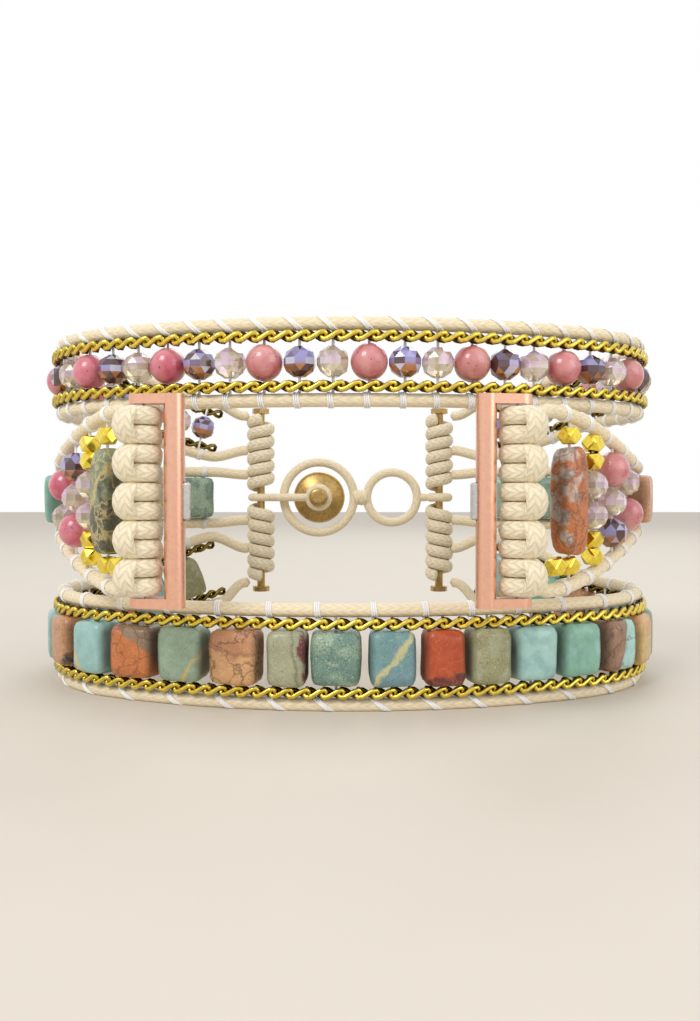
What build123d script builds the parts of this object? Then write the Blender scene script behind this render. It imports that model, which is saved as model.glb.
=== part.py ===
from build123d import *
import os
from math import asin, atan, cos, degrees, pi, radians, sin

os.makedirs("parts", exist_ok=True)

# Three rows of stones and beads, stitched between waxed cords, stand on edge as a cuff.
# Millimetres, +Z up. The front of the band faces -Y, and the origin is on the table.
# The top and bottom rows run right round the front. The middle row has a gap there for
# a watch case, which two metal lug adapters hold.

# Plan of the top and bottom rows: a four-arc oval, measured at the middle of the beads
half_width = 48.5
half_depth = 30.0
side_radius = 24.0
oval_centre_y = 3.785

# Cords, chains and the seams between neighbours in a row
cord_diameter = 2.0
cord_sides = 6
cord_step = 9.0
seam = 0.1
chain_seam = 0.03
link_length = 2.0
link_width = 0.8
link_depth = 0.9
link_slant = 28
link_pitch = 2.4
chain_out = 1.0

# Beads of the top row and of the strap columns
rose_diameter = 5.3
crystal_diameter = 4.6
small_crystal_diameter = 4.3
bead_gap = 0.12
rose_sides = 10
crystal_sides = 8
first_rose_distance = 2.7
pearl_latitudes = (24, 62)
crystal_height_shares = (0, 0.26, 0.92)
crystal_radius_shares = (1.0, 1.0, 0.5)

# Square tumbled stones of the bottom row and of the back of the middle row
stone_width = 6.6
stone_height = 8.0
stone_depth = 5.4
stone_edge = 1.1
strap_stone_gap = 0.85
first_stone_distance = -95.7

# Middle row: columns of a bar stone, nuggets and beads beside each lug adapter
bar_stone_width = 4.8
bar_stone_inset = 6.4
bar_stone_depth = 4.2
bar_stone_edge = 0.9
nugget_size = 2.4
nugget_edge = 0.7
nugget_spread = 3.1
column_lead = {"left": 3.9, "right": 4.9}
column_pitch = {"left": 5.8, "right": 6.1}
column_to_stone = 6.7
strap_angle = {"left": 48, "right": 38}
strap_start_inset = 1.8
strap_spread_length = 33.6
strap_bow = 14.0
strap_join_distance = 66.0

# Spacing of the rows' middles, and of the same rows where they meet the end bars
middle_above_bottom = 22.2
top_above_middle = 19.5
top_end_above_middle = 13.0
bottom_end_below_middle = 13.8
rise_start = 72.0
rise_end = 104.0
gather_start = 98.5
last_bead_distance = 98.0
outer_end_spread = 3.5
middle_end_spread = 4.6

# Lug adapters, with the bar that each strap is lashed to, ahead of the oval's centre
gap_centre_x = -2.6
lug_reach = 25.4
lug_bar_ahead = 36.5
lug_height = 28.4
ear_thickness = 1.3
ear_radius = 1.5
tongue_reach = 19.3
tongue_width = 2.7
tongue_depth = 3.0
tongue_ahead = 37.5
tongue_nose = 1.2
lug_bar_diameter = 1.4
bar_fit = 0.03
screw_head_diameter = 2.2
screw_head_height = 0.5
screw_shank_diameter = 0.7
screw_shank_length = 1.6
screw_fit = 0.03
screw_slot_width = 0.35
screw_slot_depth = 0.2

# Sprung latch that clicks into the watch case
latch_height = 5.0
latch_thickness = 1.3
latch_flange = 0.9
latch_flange_depth = 0.6
latch_proud = 0.7
latch_travel = 0.6
latch_fit = 0.08
latch_round = 0.32
latch_bevel = 0.23
leaf_thickness = 0.15
leaf_height = 11.0
leaf_gap = 0.05

# Lashing of the lug bars: ten wraps, and a bight over each pair
knot_turns = 9.25
knot_turn_gap = 0.45
knot_ear_gap = 0.2
knot_bar_gap = 0.17
knot_start_angle = 190
bight_count = 5
knot_sides = 6
turn_steps = 8
bight_diameter = 2.2
bight_reach = 2.95
bight_bulge = 0.9
bight_rise = 1.3
bight_angles = (-90, -45, 0, 45, 90)
strap_start_reach = 5.4

# End bars at the back, with their lashing
end_bar_distance = 108.0
end_bar_diameter = 1.6
end_bar_below_middle = 19.1
end_bar_above_middle = 18.0
end_cap_diameter = 3.4
end_cap_height = 1.0
cap_sides = 8
end_cord_diameter = 1.8
end_pitch = 2.5
end_turns = 6
end_turn_steps = 8
end_bar_gap = 0.25
hitch_room = 1.25
lashing_gap = 0.3

# Loop strap and button of the closure
loop_cord_diameter = 1.8
hitch_radius = 1.85
spare_loop_radius = 5.1
button_loop_radius = 7.15
button_distance = 24.5
loop_steps = 10
loop_opening_angle = 7
knot_length = 3.4
knot_waist_share = 0.62
knot_diameter = 3.5
button_diameter = 10.5
button_thickness = 2.7
button_bevel = 0.8
button_hollow_depth = 0.5
button_hollow_diameter = 7.0
button_clear = 1.2
neck_diameter = 2.0
eye_cord_diameter = 1.6
eye_clearance = 0.15
eye_drop = 2.1
strand_reach = 3.7
strand_bite = 0.45
foot_diameter = 3.6
foot_thickness = 0.8
foot_gap = 0.1

# Stones of the bottom row from the left end bar to the right one: its colour, its width
# as a share of the usual width, and the gap after it as a share of that width
bottom_stone_shares = (
    ("olive", 1.0, 0.12),
    ("aqua", 0.96, 0.12),
    ("brown", 1.03, 0.12),
    ("green", 0.97, 0.12),
    ("brown", 1.0, 0.12),
    ("aqua", 1.0, 0.12),
    ("brown", 1.03, 0.12),
    ("aqua", 1.08, 0.12),
    ("brown", 1.1, 0.16),
    ("green", 1.03, 0.15),
    ("brown", 1.09, 0.17),
    ("olive", 0.87, 0.05),
    ("green", 1.1, 0.15),
    ("aqua", 1.0, 0.17),
    ("red", 0.87, 0.11),
    ("olive", 0.94, 0.09),
    ("aqua", 1.03, 0.11),
    ("green", 1.06, 0.14),
    ("brown", 1.06, 0.14),
    ("brown", 1.0, 0.12),
    ("green", 1.0, 0.12),
    ("aqua", 0.97, 0.12),
    ("olive", 1.0, 0.12),
    ("brown", 1.03, 0.12),
    ("green", 1.0, 0.12),
    ("aqua", 1.0, 0.12),
)

# Values that follow from the sizes above
sides = {"left": -1, "right": 1}
cord_radius = cord_diameter / 2
rest_flat = cord_diameter / 10
lug_bar_y = oval_centre_y - lug_bar_ahead
lashing_height = lug_height - 2 * (ear_thickness + knot_ear_gap)
knot_pitch = (lashing_height + knot_turn_gap) / (knot_turns + 1)
knot_cord_diameter = knot_pitch - knot_turn_gap
wrap_radius = (lug_bar_diameter + knot_cord_diameter) / 2 + knot_bar_gap
strap_start_spread = lug_height / 2 - strap_start_inset
bar_stone_height = lug_height - 2 * bar_stone_inset
tongue_y = oval_centre_y - tongue_ahead
front_radius = ((half_width - side_radius) ** 2 + half_depth**2 - side_radius**2) / (
    2 * (half_depth - side_radius)
)
turn_angle = asin((half_width - side_radius) / (front_radius - side_radius))
front_length = front_radius * turn_angle
side_length = side_radius * (pi - 2 * turn_angle)
slant = radians(link_slant)
chain_height = link_length * sin(slant) + link_width * cos(slant)
stone_spread = stone_height / 2 + chain_height + 2 * chain_seam + cord_radius
rose_spread = rose_diameter / 2 + chain_height + 2 * chain_seam + cord_radius
strap_spread = stone_height / 2 + seam + cord_radius
bottom_height = cord_radius - rest_flat + stone_spread
middle_height = bottom_height + middle_above_bottom
top_height = middle_height + top_above_middle
top_end_height = middle_height + top_end_above_middle
bottom_end_height = middle_height - bottom_end_below_middle
end_bar_bottom = middle_height - end_bar_below_middle
end_bar_top = middle_height + end_bar_above_middle
end_wrap_radius = (end_bar_diameter + end_cord_diameter) / 2 + end_bar_gap
end_lashing_radius = end_wrap_radius + end_cord_diameter / 2
cord_end_distance = end_bar_distance - end_lashing_radius - lashing_gap
front_heights = {"top": top_height, "middle": middle_height, "bottom": bottom_height}
end_heights = {"top": top_end_height, "middle": middle_height, "bottom": bottom_end_height}
front_spreads = {"top": rose_spread, "middle": strap_spread, "bottom": stone_spread}
end_spreads = {
    "top": outer_end_spread,
    "middle": middle_end_spread,
    "bottom": outer_end_spread,
}


def smooth(share):
    """Ease from 0 to 1 with level ends."""
    held = min(max(share, 0), 1)
    return held * held * (3 - 2 * held)


def mix(start, end, share):
    """Go from one value to another by a share."""
    return start + (end - start) * share


def oval(distance, out=0):
    """Give a point of the plan oval and its outward direction.

    The distance runs along the oval from the middle of the front, to the right if positive.
    """
    reach = abs(distance)
    hand = 1 if distance >= 0 else -1
    if reach < front_length:
        angle = reach / front_radius
        centre = Vector(0, front_radius - half_depth)
        radius = front_radius
    elif reach < front_length + side_length:
        angle = turn_angle + (reach - front_length) / side_radius
        centre = Vector(hand * (half_width - side_radius), 0)
        radius = side_radius
    else:
        angle = pi - turn_angle + (reach - front_length - side_length) / front_radius
        centre = Vector(0, half_depth - front_radius)
        radius = front_radius
    outward = Vector(hand * sin(angle), -cos(angle))
    return centre + Vector(0, oval_centre_y) + outward * (radius + out), outward


# Each strap's plan: a curve from the lug bar's lashing to the side of the oval
strap_starts = {}
strap_leads = {}
strap_curves = {}
for hand, sign in sides.items():
    lead_angle = radians(strap_angle[hand])
    lead = Vector(sign * cos(lead_angle), sin(lead_angle))
    bar = Vector(gap_centre_x + sign * lug_reach, lug_bar_y)
    start = bar + lead * strap_start_reach
    join, join_outward = oval(sign * strap_join_distance)
    join_ahead = Vector(-sign * join_outward.Y, sign * join_outward.X) * sign
    with BuildLine() as strap_curve:
        Bezier(start, start + lead * strap_bow, join - join_ahead * sign * strap_bow, join)
    strap_leads[hand] = lead
    strap_curves[hand] = strap_curve.edge()
    strap_starts[hand] = strap_join_distance - strap_curve.edge().length


def strap(hand, distance):
    """Give a point of a strap's plan and its outward direction, by distance as on the oval."""
    if distance >= strap_join_distance:
        return oval(sides[hand] * distance)
    curve = strap_curves[hand]
    share = (distance - strap_starts[hand]) / curve.length
    ahead = curve % share
    return curve @ share, Vector(ahead.Y, -ahead.X) * sides[hand]


def row_middle(row, distance):
    """Give the height of a row's middle, level at the front and easing towards the end bars."""
    share = smooth((abs(distance) - rise_start) / (rise_end - rise_start))
    return mix(front_heights[row], end_heights[row], share)


def row_spread(row, distance):
    """Give half the spacing of a row's two cords, which gather at the end bars."""
    share = smooth((abs(distance) - gather_start) / (cord_end_distance - gather_start))
    return mix(front_spreads[row], end_spreads[row], share)


def strap_point(hand, distance, level):
    """Give a point of a strap's cord, level +1 for the upper cord and -1 for the lower."""
    place, outward = strap(hand, distance)
    along = (distance - strap_starts[hand]) / strap_spread_length
    widened = (strap_start_spread - strap_spread) * (1 - smooth(along))
    spread = row_spread("middle", distance) + widened
    return Vector(place.X, place.Y, row_middle("middle", distance) + level * spread), outward


def row_frame(row, distance):
    """Give a point of an outer row's middle, and its directions along, outward and up."""
    place, outward = oval(distance)
    ahead, _ = oval(distance + cord_radius)
    behind, _ = oval(distance - cord_radius)
    rise = row_middle(row, distance + cord_radius) - row_middle(row, distance - cord_radius)
    along = Vector(ahead.X - behind.X, ahead.Y - behind.Y, rise).normalized()
    middle = Vector(place.X, place.Y, row_middle(row, distance))
    return middle, along, outward, outward.cross(along)


def row_point(row, distance, level):
    """Give a point of an outer row's cord, level +1 for the upper cord and -1 for the lower."""
    middle, _, outward, up = row_frame(row, distance)
    return middle + up * (level * row_spread(row, distance)), outward


def route_planes(points, normals):
    """Give the planes that stand square to a route at its points, x along each normal."""
    planes = []
    last = len(points) - 1
    for index, point in enumerate(points):
        ahead = points[min(index + 1, last)] - points[max(index - 1, 0)]
        planes.append(Plane(origin=point, x_dir=normals[index], z_dir=ahead))
    return planes


def tube(planes, diameter, side_count, turn=0):
    """Sweep a polygon through the planes of a route, with mitred corners and flat facets."""
    with BuildLine() as route:
        Polyline(*[plane.origin for plane in planes])
    with BuildSketch(planes[0]) as ring:
        RegularPolygon(diameter / 2, side_count, rotation=turn)
    sweep(ring.sketch.face(), path=route.wire(), transition=Transition.RIGHT)


def spaced(start, end, step):
    """Give evenly spaced values from start to end, about a step apart."""
    count = max(round(abs(end - start) / step), 1)
    return [mix(start, end, index / count) for index in range(count + 1)]


def row_planes(row, level):
    """Give the section planes of an outer row's cord, from the left end bar to the right."""
    turns = spaced(-gather_start, gather_start, cord_step)
    gathers = spaced(gather_start, cord_end_distance, cord_radius * 2)[1:]
    distances = [-value for value in reversed(gathers)] + turns + gathers
    found = [row_point(row, distance, level) for distance in distances]
    return route_planes([place for place, _ in found], [outward for _, outward in found])


def strap_planes(hand, level):
    """Give the section planes of a strap's cord, from its lug bar to the end bar."""
    turns = spaced(strap_starts[hand], gather_start, cord_step)
    gathers = spaced(gather_start, cord_end_distance, cord_radius * 2)[1:]
    found = [strap_point(hand, distance, level) for distance in turns + gathers]
    return route_planes([place for place, _ in found], [outward for _, outward in found])


def chain_links(row, level):
    """Give the places of a chain's slanted links, which lie between the beads and a cord."""
    places = []
    offset = front_spreads[row] - cord_radius - chain_seam - chain_height / 2
    for distance in spaced(-last_bead_distance, last_bead_distance, link_pitch):
        middle, along, outward, up = row_frame(row, distance)
        place = middle + outward * chain_out + up * (level * offset)
        link = Plane(origin=place, x_dir=along, z_dir=outward)
        places.append(link.location * Rotation(0, 0, link_slant))
    return places


def row_seat(row, distance):
    """Give the location of a bead of an outer row, its -y side outward."""
    middle, along, _, up = row_frame(row, distance)
    return Plane(origin=middle, x_dir=along, z_dir=up).location


def strap_seat(hand, distance, height):
    """Give the location of a bead of a strap at a height, its -y side outward."""
    place, outward = strap(hand, distance)
    along = Vector(-outward.Y, outward.X)
    return Plane(origin=(place.X, place.Y, height), x_dir=along, z_dir=(0, 0, 1)).location


def bead(side_count, heights, radii):
    """Stack tapered bands of flat facets from a bead's middle to its end, and mirror them."""
    apothem_share = cos(pi / side_count)
    with BuildPart() as stack:
        for index, rise in enumerate(b - a for a, b in zip(heights, heights[1:])):
            narrowing = (radii[index] - radii[index + 1]) * apothem_share
            with BuildSketch(Plane.XY.offset(heights[index])):
                RegularPolygon(radii[index], side_count)
            extrude(amount=rise, taper=degrees(atan(narrowing / rise)))
        mirror(about=Plane.XY)
    return stack.part


def crystal(diameter):
    """Make a faceted crystal: two tapered crowns of facets on a straight belt."""
    heights = [share * diameter / 2 for share in crystal_height_shares]
    radii = [share * diameter / 2 for share in crystal_radius_shares]
    return bead(crystal_sides, heights, radii)


def block(width, depth, height, edge):
    """Make a stone or nugget cut square, with every edge taken off."""
    with BuildPart() as cut:
        Box(width, depth, height)
        chamfer(cut.edges(), edge)
    return cut.part


def finish(part, name):
    """Label a piece and write it to its STEP file."""
    part.label = name
    export_step(part, f"parts/{name}.step")


def least_gap(points, diameter, skip):
    """Give the least gap of a tube to its own other turns, from its centre points."""
    gaps = []
    for index, point in enumerate(points):
        for other in points[index + skip :]:
            gaps.append((point - other).length - diameter)
    return min(gaps)


# Cords of the top and bottom rows, one above and one below the beads of each
cord_turn = 180 / cord_sides
for row in ("top", "bottom"):
    for word, level in (("upper", 1), ("lower", -1)):
        with BuildPart() as row_cord:
            tube(row_planes(row, level), cord_diameter, cord_sides, cord_turn)
            if row == "bottom" and level < 0:
                split(bisect_by=Plane.XY, keep=Keep.TOP)
        finish(row_cord.part, f"{row}_row_{word}_cord")

# Cords of the two straps of the middle row
for hand in sides:
    for word, level in (("upper", 1), ("lower", -1)):
        with BuildPart() as strap_cord:
            tube(strap_planes(hand, level), cord_diameter, cord_sides, cord_turn)
        finish(strap_cord.part, f"{hand}_strap_{word}_cord")

# Gold chains, one along the inner side of each cord of the outer rows
for row in ("top", "bottom"):
    for word, level in (("upper", 1), ("lower", -1)):
        with BuildPart() as chain:
            with Locations(*chain_links(row, level)):
                Box(link_length, link_width, link_depth)
        finish(chain.part, f"{row}_row_{word}_chain")

# Forms of the beads and stones
pearl_heights = [rose_diameter / 2 * sin(radians(value)) for value in pearl_latitudes]
pearl_radii = [rose_diameter / 2 * cos(radians(value)) for value in pearl_latitudes]
rose_bead = bead(rose_sides, [0] + pearl_heights, [pearl_radii[0]] + pearl_radii)
round_crystal = crystal(crystal_diameter)
small_crystal = crystal(small_crystal_diameter)
bar_stone = block(bar_stone_width, bar_stone_depth, bar_stone_height, bar_stone_edge)
nugget = block(nugget_size, nugget_size, nugget_size, nugget_edge)

# Beads of the top row: rose, violet and champagne in turn all the way round
rose_step = (rose_diameter + crystal_diameter) / 2 + bead_gap
crystal_step = crystal_diameter + bead_gap
pattern_length = 2 * rose_step + crystal_step
pattern_count = int(last_bead_distance / pattern_length) + 1
top_places = {"rose": [], "violet": [], "champagne": []}
for index in range(-pattern_count, pattern_count + 1):
    rose_distance = first_rose_distance + index * pattern_length
    distances = {
        "rose": rose_distance,
        "violet": rose_distance + rose_step,
        "champagne": rose_distance + rose_step + crystal_step,
    }
    for colour, distance in distances.items():
        if abs(distance) < last_bead_distance:
            top_places[colour].append(row_seat("top", distance))

with BuildPart() as top_rose_beads:
    with Locations(*top_places["rose"]):
        add(rose_bead)
finish(top_rose_beads.part, "top_row_rose_beads")

with BuildPart() as top_violet_crystals:
    with Locations(*top_places["violet"]):
        add(round_crystal)
finish(top_violet_crystals.part, "top_row_violet_crystals")

with BuildPart() as top_champagne_crystals:
    with Locations(*top_places["champagne"]):
        add(round_crystal)
finish(top_champagne_crystals.part, "top_row_champagne_crystals")

# Stones of the bottom row, sorted by colour
bottom_stones = {}
stone_start = first_stone_distance
for colour, width_share, gap_share in bottom_stone_shares:
    width = width_share * stone_width
    form = block(width, stone_depth, stone_height, stone_edge)
    seat = row_seat("bottom", stone_start + width / 2)
    bottom_stones.setdefault(colour, []).append(form.moved(seat))
    stone_start += width + gap_share * stone_width

for colour, stones in bottom_stones.items():
    with BuildPart() as colour_stones:
        add(stones)
    finish(colour_stones.part, f"bottom_row_{colour}_stones")


def column(hand, number, rows):
    """Stack a column of a strap about the row's middle, and give each form at its place."""
    distance = strap_starts[hand] + column_lead[hand] + number * column_pitch[hand]
    stack = sum(size for _, _, size in rows) + bead_gap * (len(rows) - 1)
    height = middle_height + stack / 2
    found = []
    for word, form, size in rows:
        found.append((word, form.moved(strap_seat(hand, distance, height - size / 2))))
        height -= size + bead_gap
    return found


# Columns of the straps, from the lug bar outwards, each listed from the top down
nugget_row = ("gold_nuggets", nugget, nugget_size)
rose_row = ("rose_beads", rose_bead, rose_diameter)
champagne_row = ("champagne_crystals", small_crystal, small_crystal_diameter)
violet_row = ("violet_crystal", round_crystal, crystal_diameter)
bar_row = ("bar_stone", bar_stone, bar_stone_height)
pair_rows = [nugget_row] * 2 + [champagne_row] * 2 + [nugget_row] * 2
strap_columns = {
    "left": (
        [nugget_row, bar_row, nugget_row],
        pair_rows,
        [violet_row, champagne_row, rose_row],
        [rose_row, champagne_row],
    ),
    "right": (
        [nugget_row, bar_row, nugget_row],
        pair_rows,
        [rose_row, champagne_row, violet_row],
        [champagne_row, rose_row],
    ),
}
for hand, columns in strap_columns.items():
    pieces = {}
    for number, rows in enumerate(columns):
        for word, form in column(hand, number, rows):
            pieces.setdefault(word, []).append(form)
    extra_distance = strap_starts[hand] + column_lead[hand] - nugget_spread
    extra_height = middle_height - (bar_stone_height + nugget_size) / 2 - bead_gap
    extra = nugget.moved(strap_seat(hand, extra_distance, extra_height))
    pieces["gold_nuggets"].append(extra)
    for word, forms in pieces.items():
        with BuildPart() as strap_pieces:
            add(forms)
        finish(strap_pieces.part, f"{hand}_strap_{word}")

# Square stones of the straps, from the last bead column to the end bar
strap_stone = block(stone_width, stone_depth, stone_height, stone_edge)
for hand in sides:
    columns_length = column_lead[hand] + (len(strap_columns[hand]) - 1) * column_pitch[hand]
    first_distance = strap_starts[hand] + columns_length + column_to_stone
    last_distance = last_bead_distance - stone_width / 2
    intervals = int((last_distance - first_distance) / (stone_width + strap_stone_gap))
    stones = []
    for index in range(intervals + 1):
        distance = mix(first_distance, last_distance, index / intervals)
        stones.append(strap_stone.moved(strap_seat(hand, distance, middle_height)))
    with BuildPart() as strap_stones:
        add(stones)
    finish(strap_stones.part, f"{hand}_strap_stones")

# Lug adapters: a tongue that slides into the watch case, two ears and their bar
lug_bottom = middle_height - lug_height / 2
lug_top = middle_height + lug_height / 2
pocket_height = latch_height + 2 * latch_flange + 2 * latch_fit
for hand, sign in sides.items():
    bar_x = gap_centre_x + sign * lug_reach
    tongue_x = gap_centre_x + sign * (tongue_reach + tongue_width / 2)
    tongue_inner_x = gap_centre_x + sign * tongue_reach
    tongue_outer_x = gap_centre_x + sign * (tongue_reach + tongue_width)
    bar_hole = lug_bar_diameter / 2 + bar_fit
    head_seat = lug_top - screw_head_height
    with BuildPart() as lug_adapter:
        with BuildSketch(Plane.XY.offset(lug_bottom)) as tongue_profile:
            with Locations((tongue_x, tongue_y)):
                RectangleRounded(tongue_width, tongue_depth, tongue_nose)
        extrude(amount=lug_height)
        for ear_bottom in (lug_bottom, lug_top - ear_thickness):
            with BuildSketch(Plane.XY.offset(ear_bottom)) as ear_profile:
                with Locations((bar_x, lug_bar_y)):
                    Circle(ear_radius)
                with Locations((tongue_x, tongue_y)):
                    Circle(tongue_width / 2)
                make_hull()
            extrude(amount=ear_thickness)
        with BuildSketch(Plane.XY.offset(lug_bottom)) as bar_bore:
            with Locations((bar_x, lug_bar_y)):
                Circle(bar_hole)
        extrude(amount=lug_height, mode=Mode.SUBTRACT)
        for head_bottom in (lug_bottom, head_seat):
            with BuildSketch(Plane.XY.offset(head_bottom)) as head_recess:
                with Locations((bar_x, lug_bar_y)):
                    Circle(screw_head_diameter / 2 + screw_fit)
            extrude(amount=screw_head_height, mode=Mode.SUBTRACT)
        latch_plane = Plane(
            origin=(tongue_inner_x, tongue_y, middle_height), x_dir=(0, 0, 1), z_dir=(sign, 0, 0)
        )
        with BuildSketch(latch_plane) as latch_window:
            Rectangle(latch_height + 2 * latch_fit, latch_thickness + 2 * latch_fit)
        extrude(amount=tongue_width, mode=Mode.SUBTRACT)
        with BuildSketch(latch_plane.offset(latch_flange_depth)) as latch_pocket:
            Rectangle(pocket_height, latch_thickness + 2 * latch_fit)
        extrude(amount=tongue_width, mode=Mode.SUBTRACT)
        leaf_seat = tongue_width - leaf_thickness
        with BuildSketch(latch_plane.offset(leaf_seat)) as leaf_groove:
            Rectangle(leaf_height + 2 * latch_fit, latch_thickness + 2 * latch_fit)
        extrude(amount=leaf_thickness, mode=Mode.SUBTRACT)
    finish(lug_adapter.part, f"{hand}_lug_adapter")

    with BuildPart() as lug_bar:
        with BuildSketch(Plane.XY.offset(lug_bottom + screw_head_height)) as bar_end:
            with Locations((bar_x, lug_bar_y)):
                Circle(lug_bar_diameter / 2)
                Circle(screw_shank_diameter / 2 + screw_fit, mode=Mode.SUBTRACT)
        extrude(amount=lug_height - 2 * screw_head_height)
    finish(lug_bar.part, f"{hand}_lug_bar")

    with BuildPart() as bar_screws:
        for head_bottom, shank_bottom, slot_bottom in (
            (lug_bottom, lug_bottom + screw_head_height, lug_bottom),
            (head_seat, head_seat - screw_shank_length, lug_top - screw_slot_depth),
        ):
            with BuildSketch(Plane.XY.offset(head_bottom)) as screw_head:
                with Locations((bar_x, lug_bar_y)):
                    Circle(screw_head_diameter / 2)
            extrude(amount=screw_head_height)
            with BuildSketch(Plane.XY.offset(shank_bottom)) as screw_shank:
                with Locations((bar_x, lug_bar_y)):
                    Circle(screw_shank_diameter / 2)
            extrude(amount=screw_shank_length)
            with BuildSketch(Plane.XY.offset(slot_bottom)) as screw_slot:
                with Locations((bar_x, lug_bar_y)):
                    Rectangle(screw_head_diameter, screw_slot_width)
            extrude(amount=screw_slot_depth, mode=Mode.SUBTRACT)
    finish(bar_screws.part, f"{hand}_bar_screws")

    flange_seat = latch_flange_depth + latch_fit
    flange_thickness = leaf_seat - leaf_gap - latch_travel - flange_seat
    with BuildPart() as latch:
        with BuildSketch(latch_plane.offset(flange_seat)) as latch_stem:
            RectangleRounded(latch_height, latch_thickness, latch_round)
        extrude(amount=-(flange_seat + latch_proud))
        chamfer(latch.faces().sort_by(Axis.X)[-1 if sign < 0 else 0].edges(), latch_bevel)
        with BuildSketch(latch_plane.offset(flange_seat)) as latch_back:
            Rectangle(latch_height + 2 * latch_flange, latch_thickness)
        extrude(amount=flange_thickness)
    finish(latch.part, f"{hand}_latch")

    with BuildPart() as latch_spring:
        with BuildSketch(latch_plane.offset(leaf_seat)) as leaf:
            Rectangle(leaf_height, latch_thickness)
        extrude(amount=leaf_thickness)
    finish(latch_spring.part, f"{hand}_latch_spring")

# Lashing of the lug bars: one cord wound ten times, with a bight over each pair of wraps
for hand, sign in sides.items():
    bar = Vector(gap_centre_x + sign * lug_reach, lug_bar_y)
    lead = strap_leads[hand]
    across = Vector(-lead.Y, lead.X) * sign
    wrap_points = []
    for step in range(round(knot_turns * turn_steps) + 1):
        angle = radians(knot_start_angle) + 2 * pi * step / turn_steps
        height = middle_height + knot_pitch * (step / turn_steps - knot_turns / 2)
        round_bar = lead * cos(angle) + across * sin(angle)
        wrap_points.append(bar + round_bar * wrap_radius + Vector(0, 0, height))
    upright = [Vector(0, 0, 1)] * len(wrap_points)
    with BuildPart() as lashing:
        tube(route_planes(wrap_points, upright), knot_cord_diameter, knot_sides)
        for number in range(bight_count):
            bight_height = middle_height + 2 * knot_pitch * (number - (bight_count - 1) / 2)
            bight_points = []
            for turn in bight_angles:
                reach = bight_reach + bight_bulge * cos(radians(turn))
                rise = bight_height + bight_rise * sin(radians(turn))
                bight_points.append(bar + lead * reach + Vector(0, 0, rise))
            bight_normals = [across] * len(bight_points)
            tube(route_planes(bight_points, bight_normals), bight_diameter, knot_sides)
    finish(lashing.part, f"{hand}_strap_lashing")
    gap = least_gap(wrap_points, knot_cord_diameter, turn_steps // 2)
    print(f"{hand} strap lashing: least gap between turns {gap:.3f} mm")

# End bars at the back, and the lashing that ties the six cords of each side to its bar
hitch_height = middle_height
for hand, sign in sides.items():
    bar, outward = oval(sign * end_bar_distance)
    with BuildPart() as end_bar:
        with BuildSketch(Plane.XY.offset(end_bar_bottom)) as rod:
            with Locations((bar.X, bar.Y)):
                Circle(end_bar_diameter / 2)
        extrude(amount=end_bar_top - end_bar_bottom)
        for cap_bottom in (end_bar_bottom, end_bar_top - end_cap_height):
            with BuildSketch(Plane.XY.offset(cap_bottom)) as cap:
                with Locations((bar.X, bar.Y)):
                    RegularPolygon(end_cap_diameter / 2, cap_sides)
            extrude(amount=end_cap_height)
    finish(end_bar.part, f"{hand}_end_bar")

    with BuildPart() as end_lashing:
        for level in (-1, 1):
            wrap_points = []
            first_height = hitch_height + level * (hitch_room + end_cord_diameter / 2)
            for step in range(end_turns * end_turn_steps - end_turn_steps // 2 + 1):
                angle = 2 * pi * step / end_turn_steps
                height = first_height + level * end_pitch * step / end_turn_steps
                round_bar = outward * cos(angle) + Vector(-outward.Y, outward.X) * sin(angle)
                wrap_points.append(bar + round_bar * end_wrap_radius + Vector(0, 0, height))
            upright = [Vector(0, 0, 1)] * len(wrap_points)
            tube(route_planes(wrap_points, upright), end_cord_diameter, knot_sides)
    finish(end_lashing.part, f"{hand}_end_lashing")
    gap = least_gap(wrap_points, end_cord_diameter, end_turn_steps // 2)
    print(f"{hand} end lashing: least gap between turns {gap:.3f} mm")


def ring_planes(centre, x_axis, y_axis, radius, start, end):
    """Give section planes round part of a circle, by its angles in degrees."""
    points = []
    axis = x_axis.cross(y_axis)
    for angle in spaced(start, end, 360 / loop_steps):
        spoke = x_axis * cos(radians(angle)) + y_axis * sin(radians(angle))
        points.append(centre + spoke * radius)
    return route_planes(points, [axis] * len(points))


def knot(centre, length, diameter):
    """Loft a knot as a short barrel along X."""
    rings = []
    for share, girth in ((-1, knot_waist_share), (0, 1), (1, knot_waist_share)):
        place = centre + Vector(share * length / 2, 0, 0)
        with BuildSketch(Plane(origin=place, x_dir=(0, 0, 1), z_dir=(1, 0, 0))) as ring:
            RegularPolygon(girth * diameter / 2, cord_sides)
        rings.append(ring.sketch.face())
    loft(rings, ruled=True)


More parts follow.
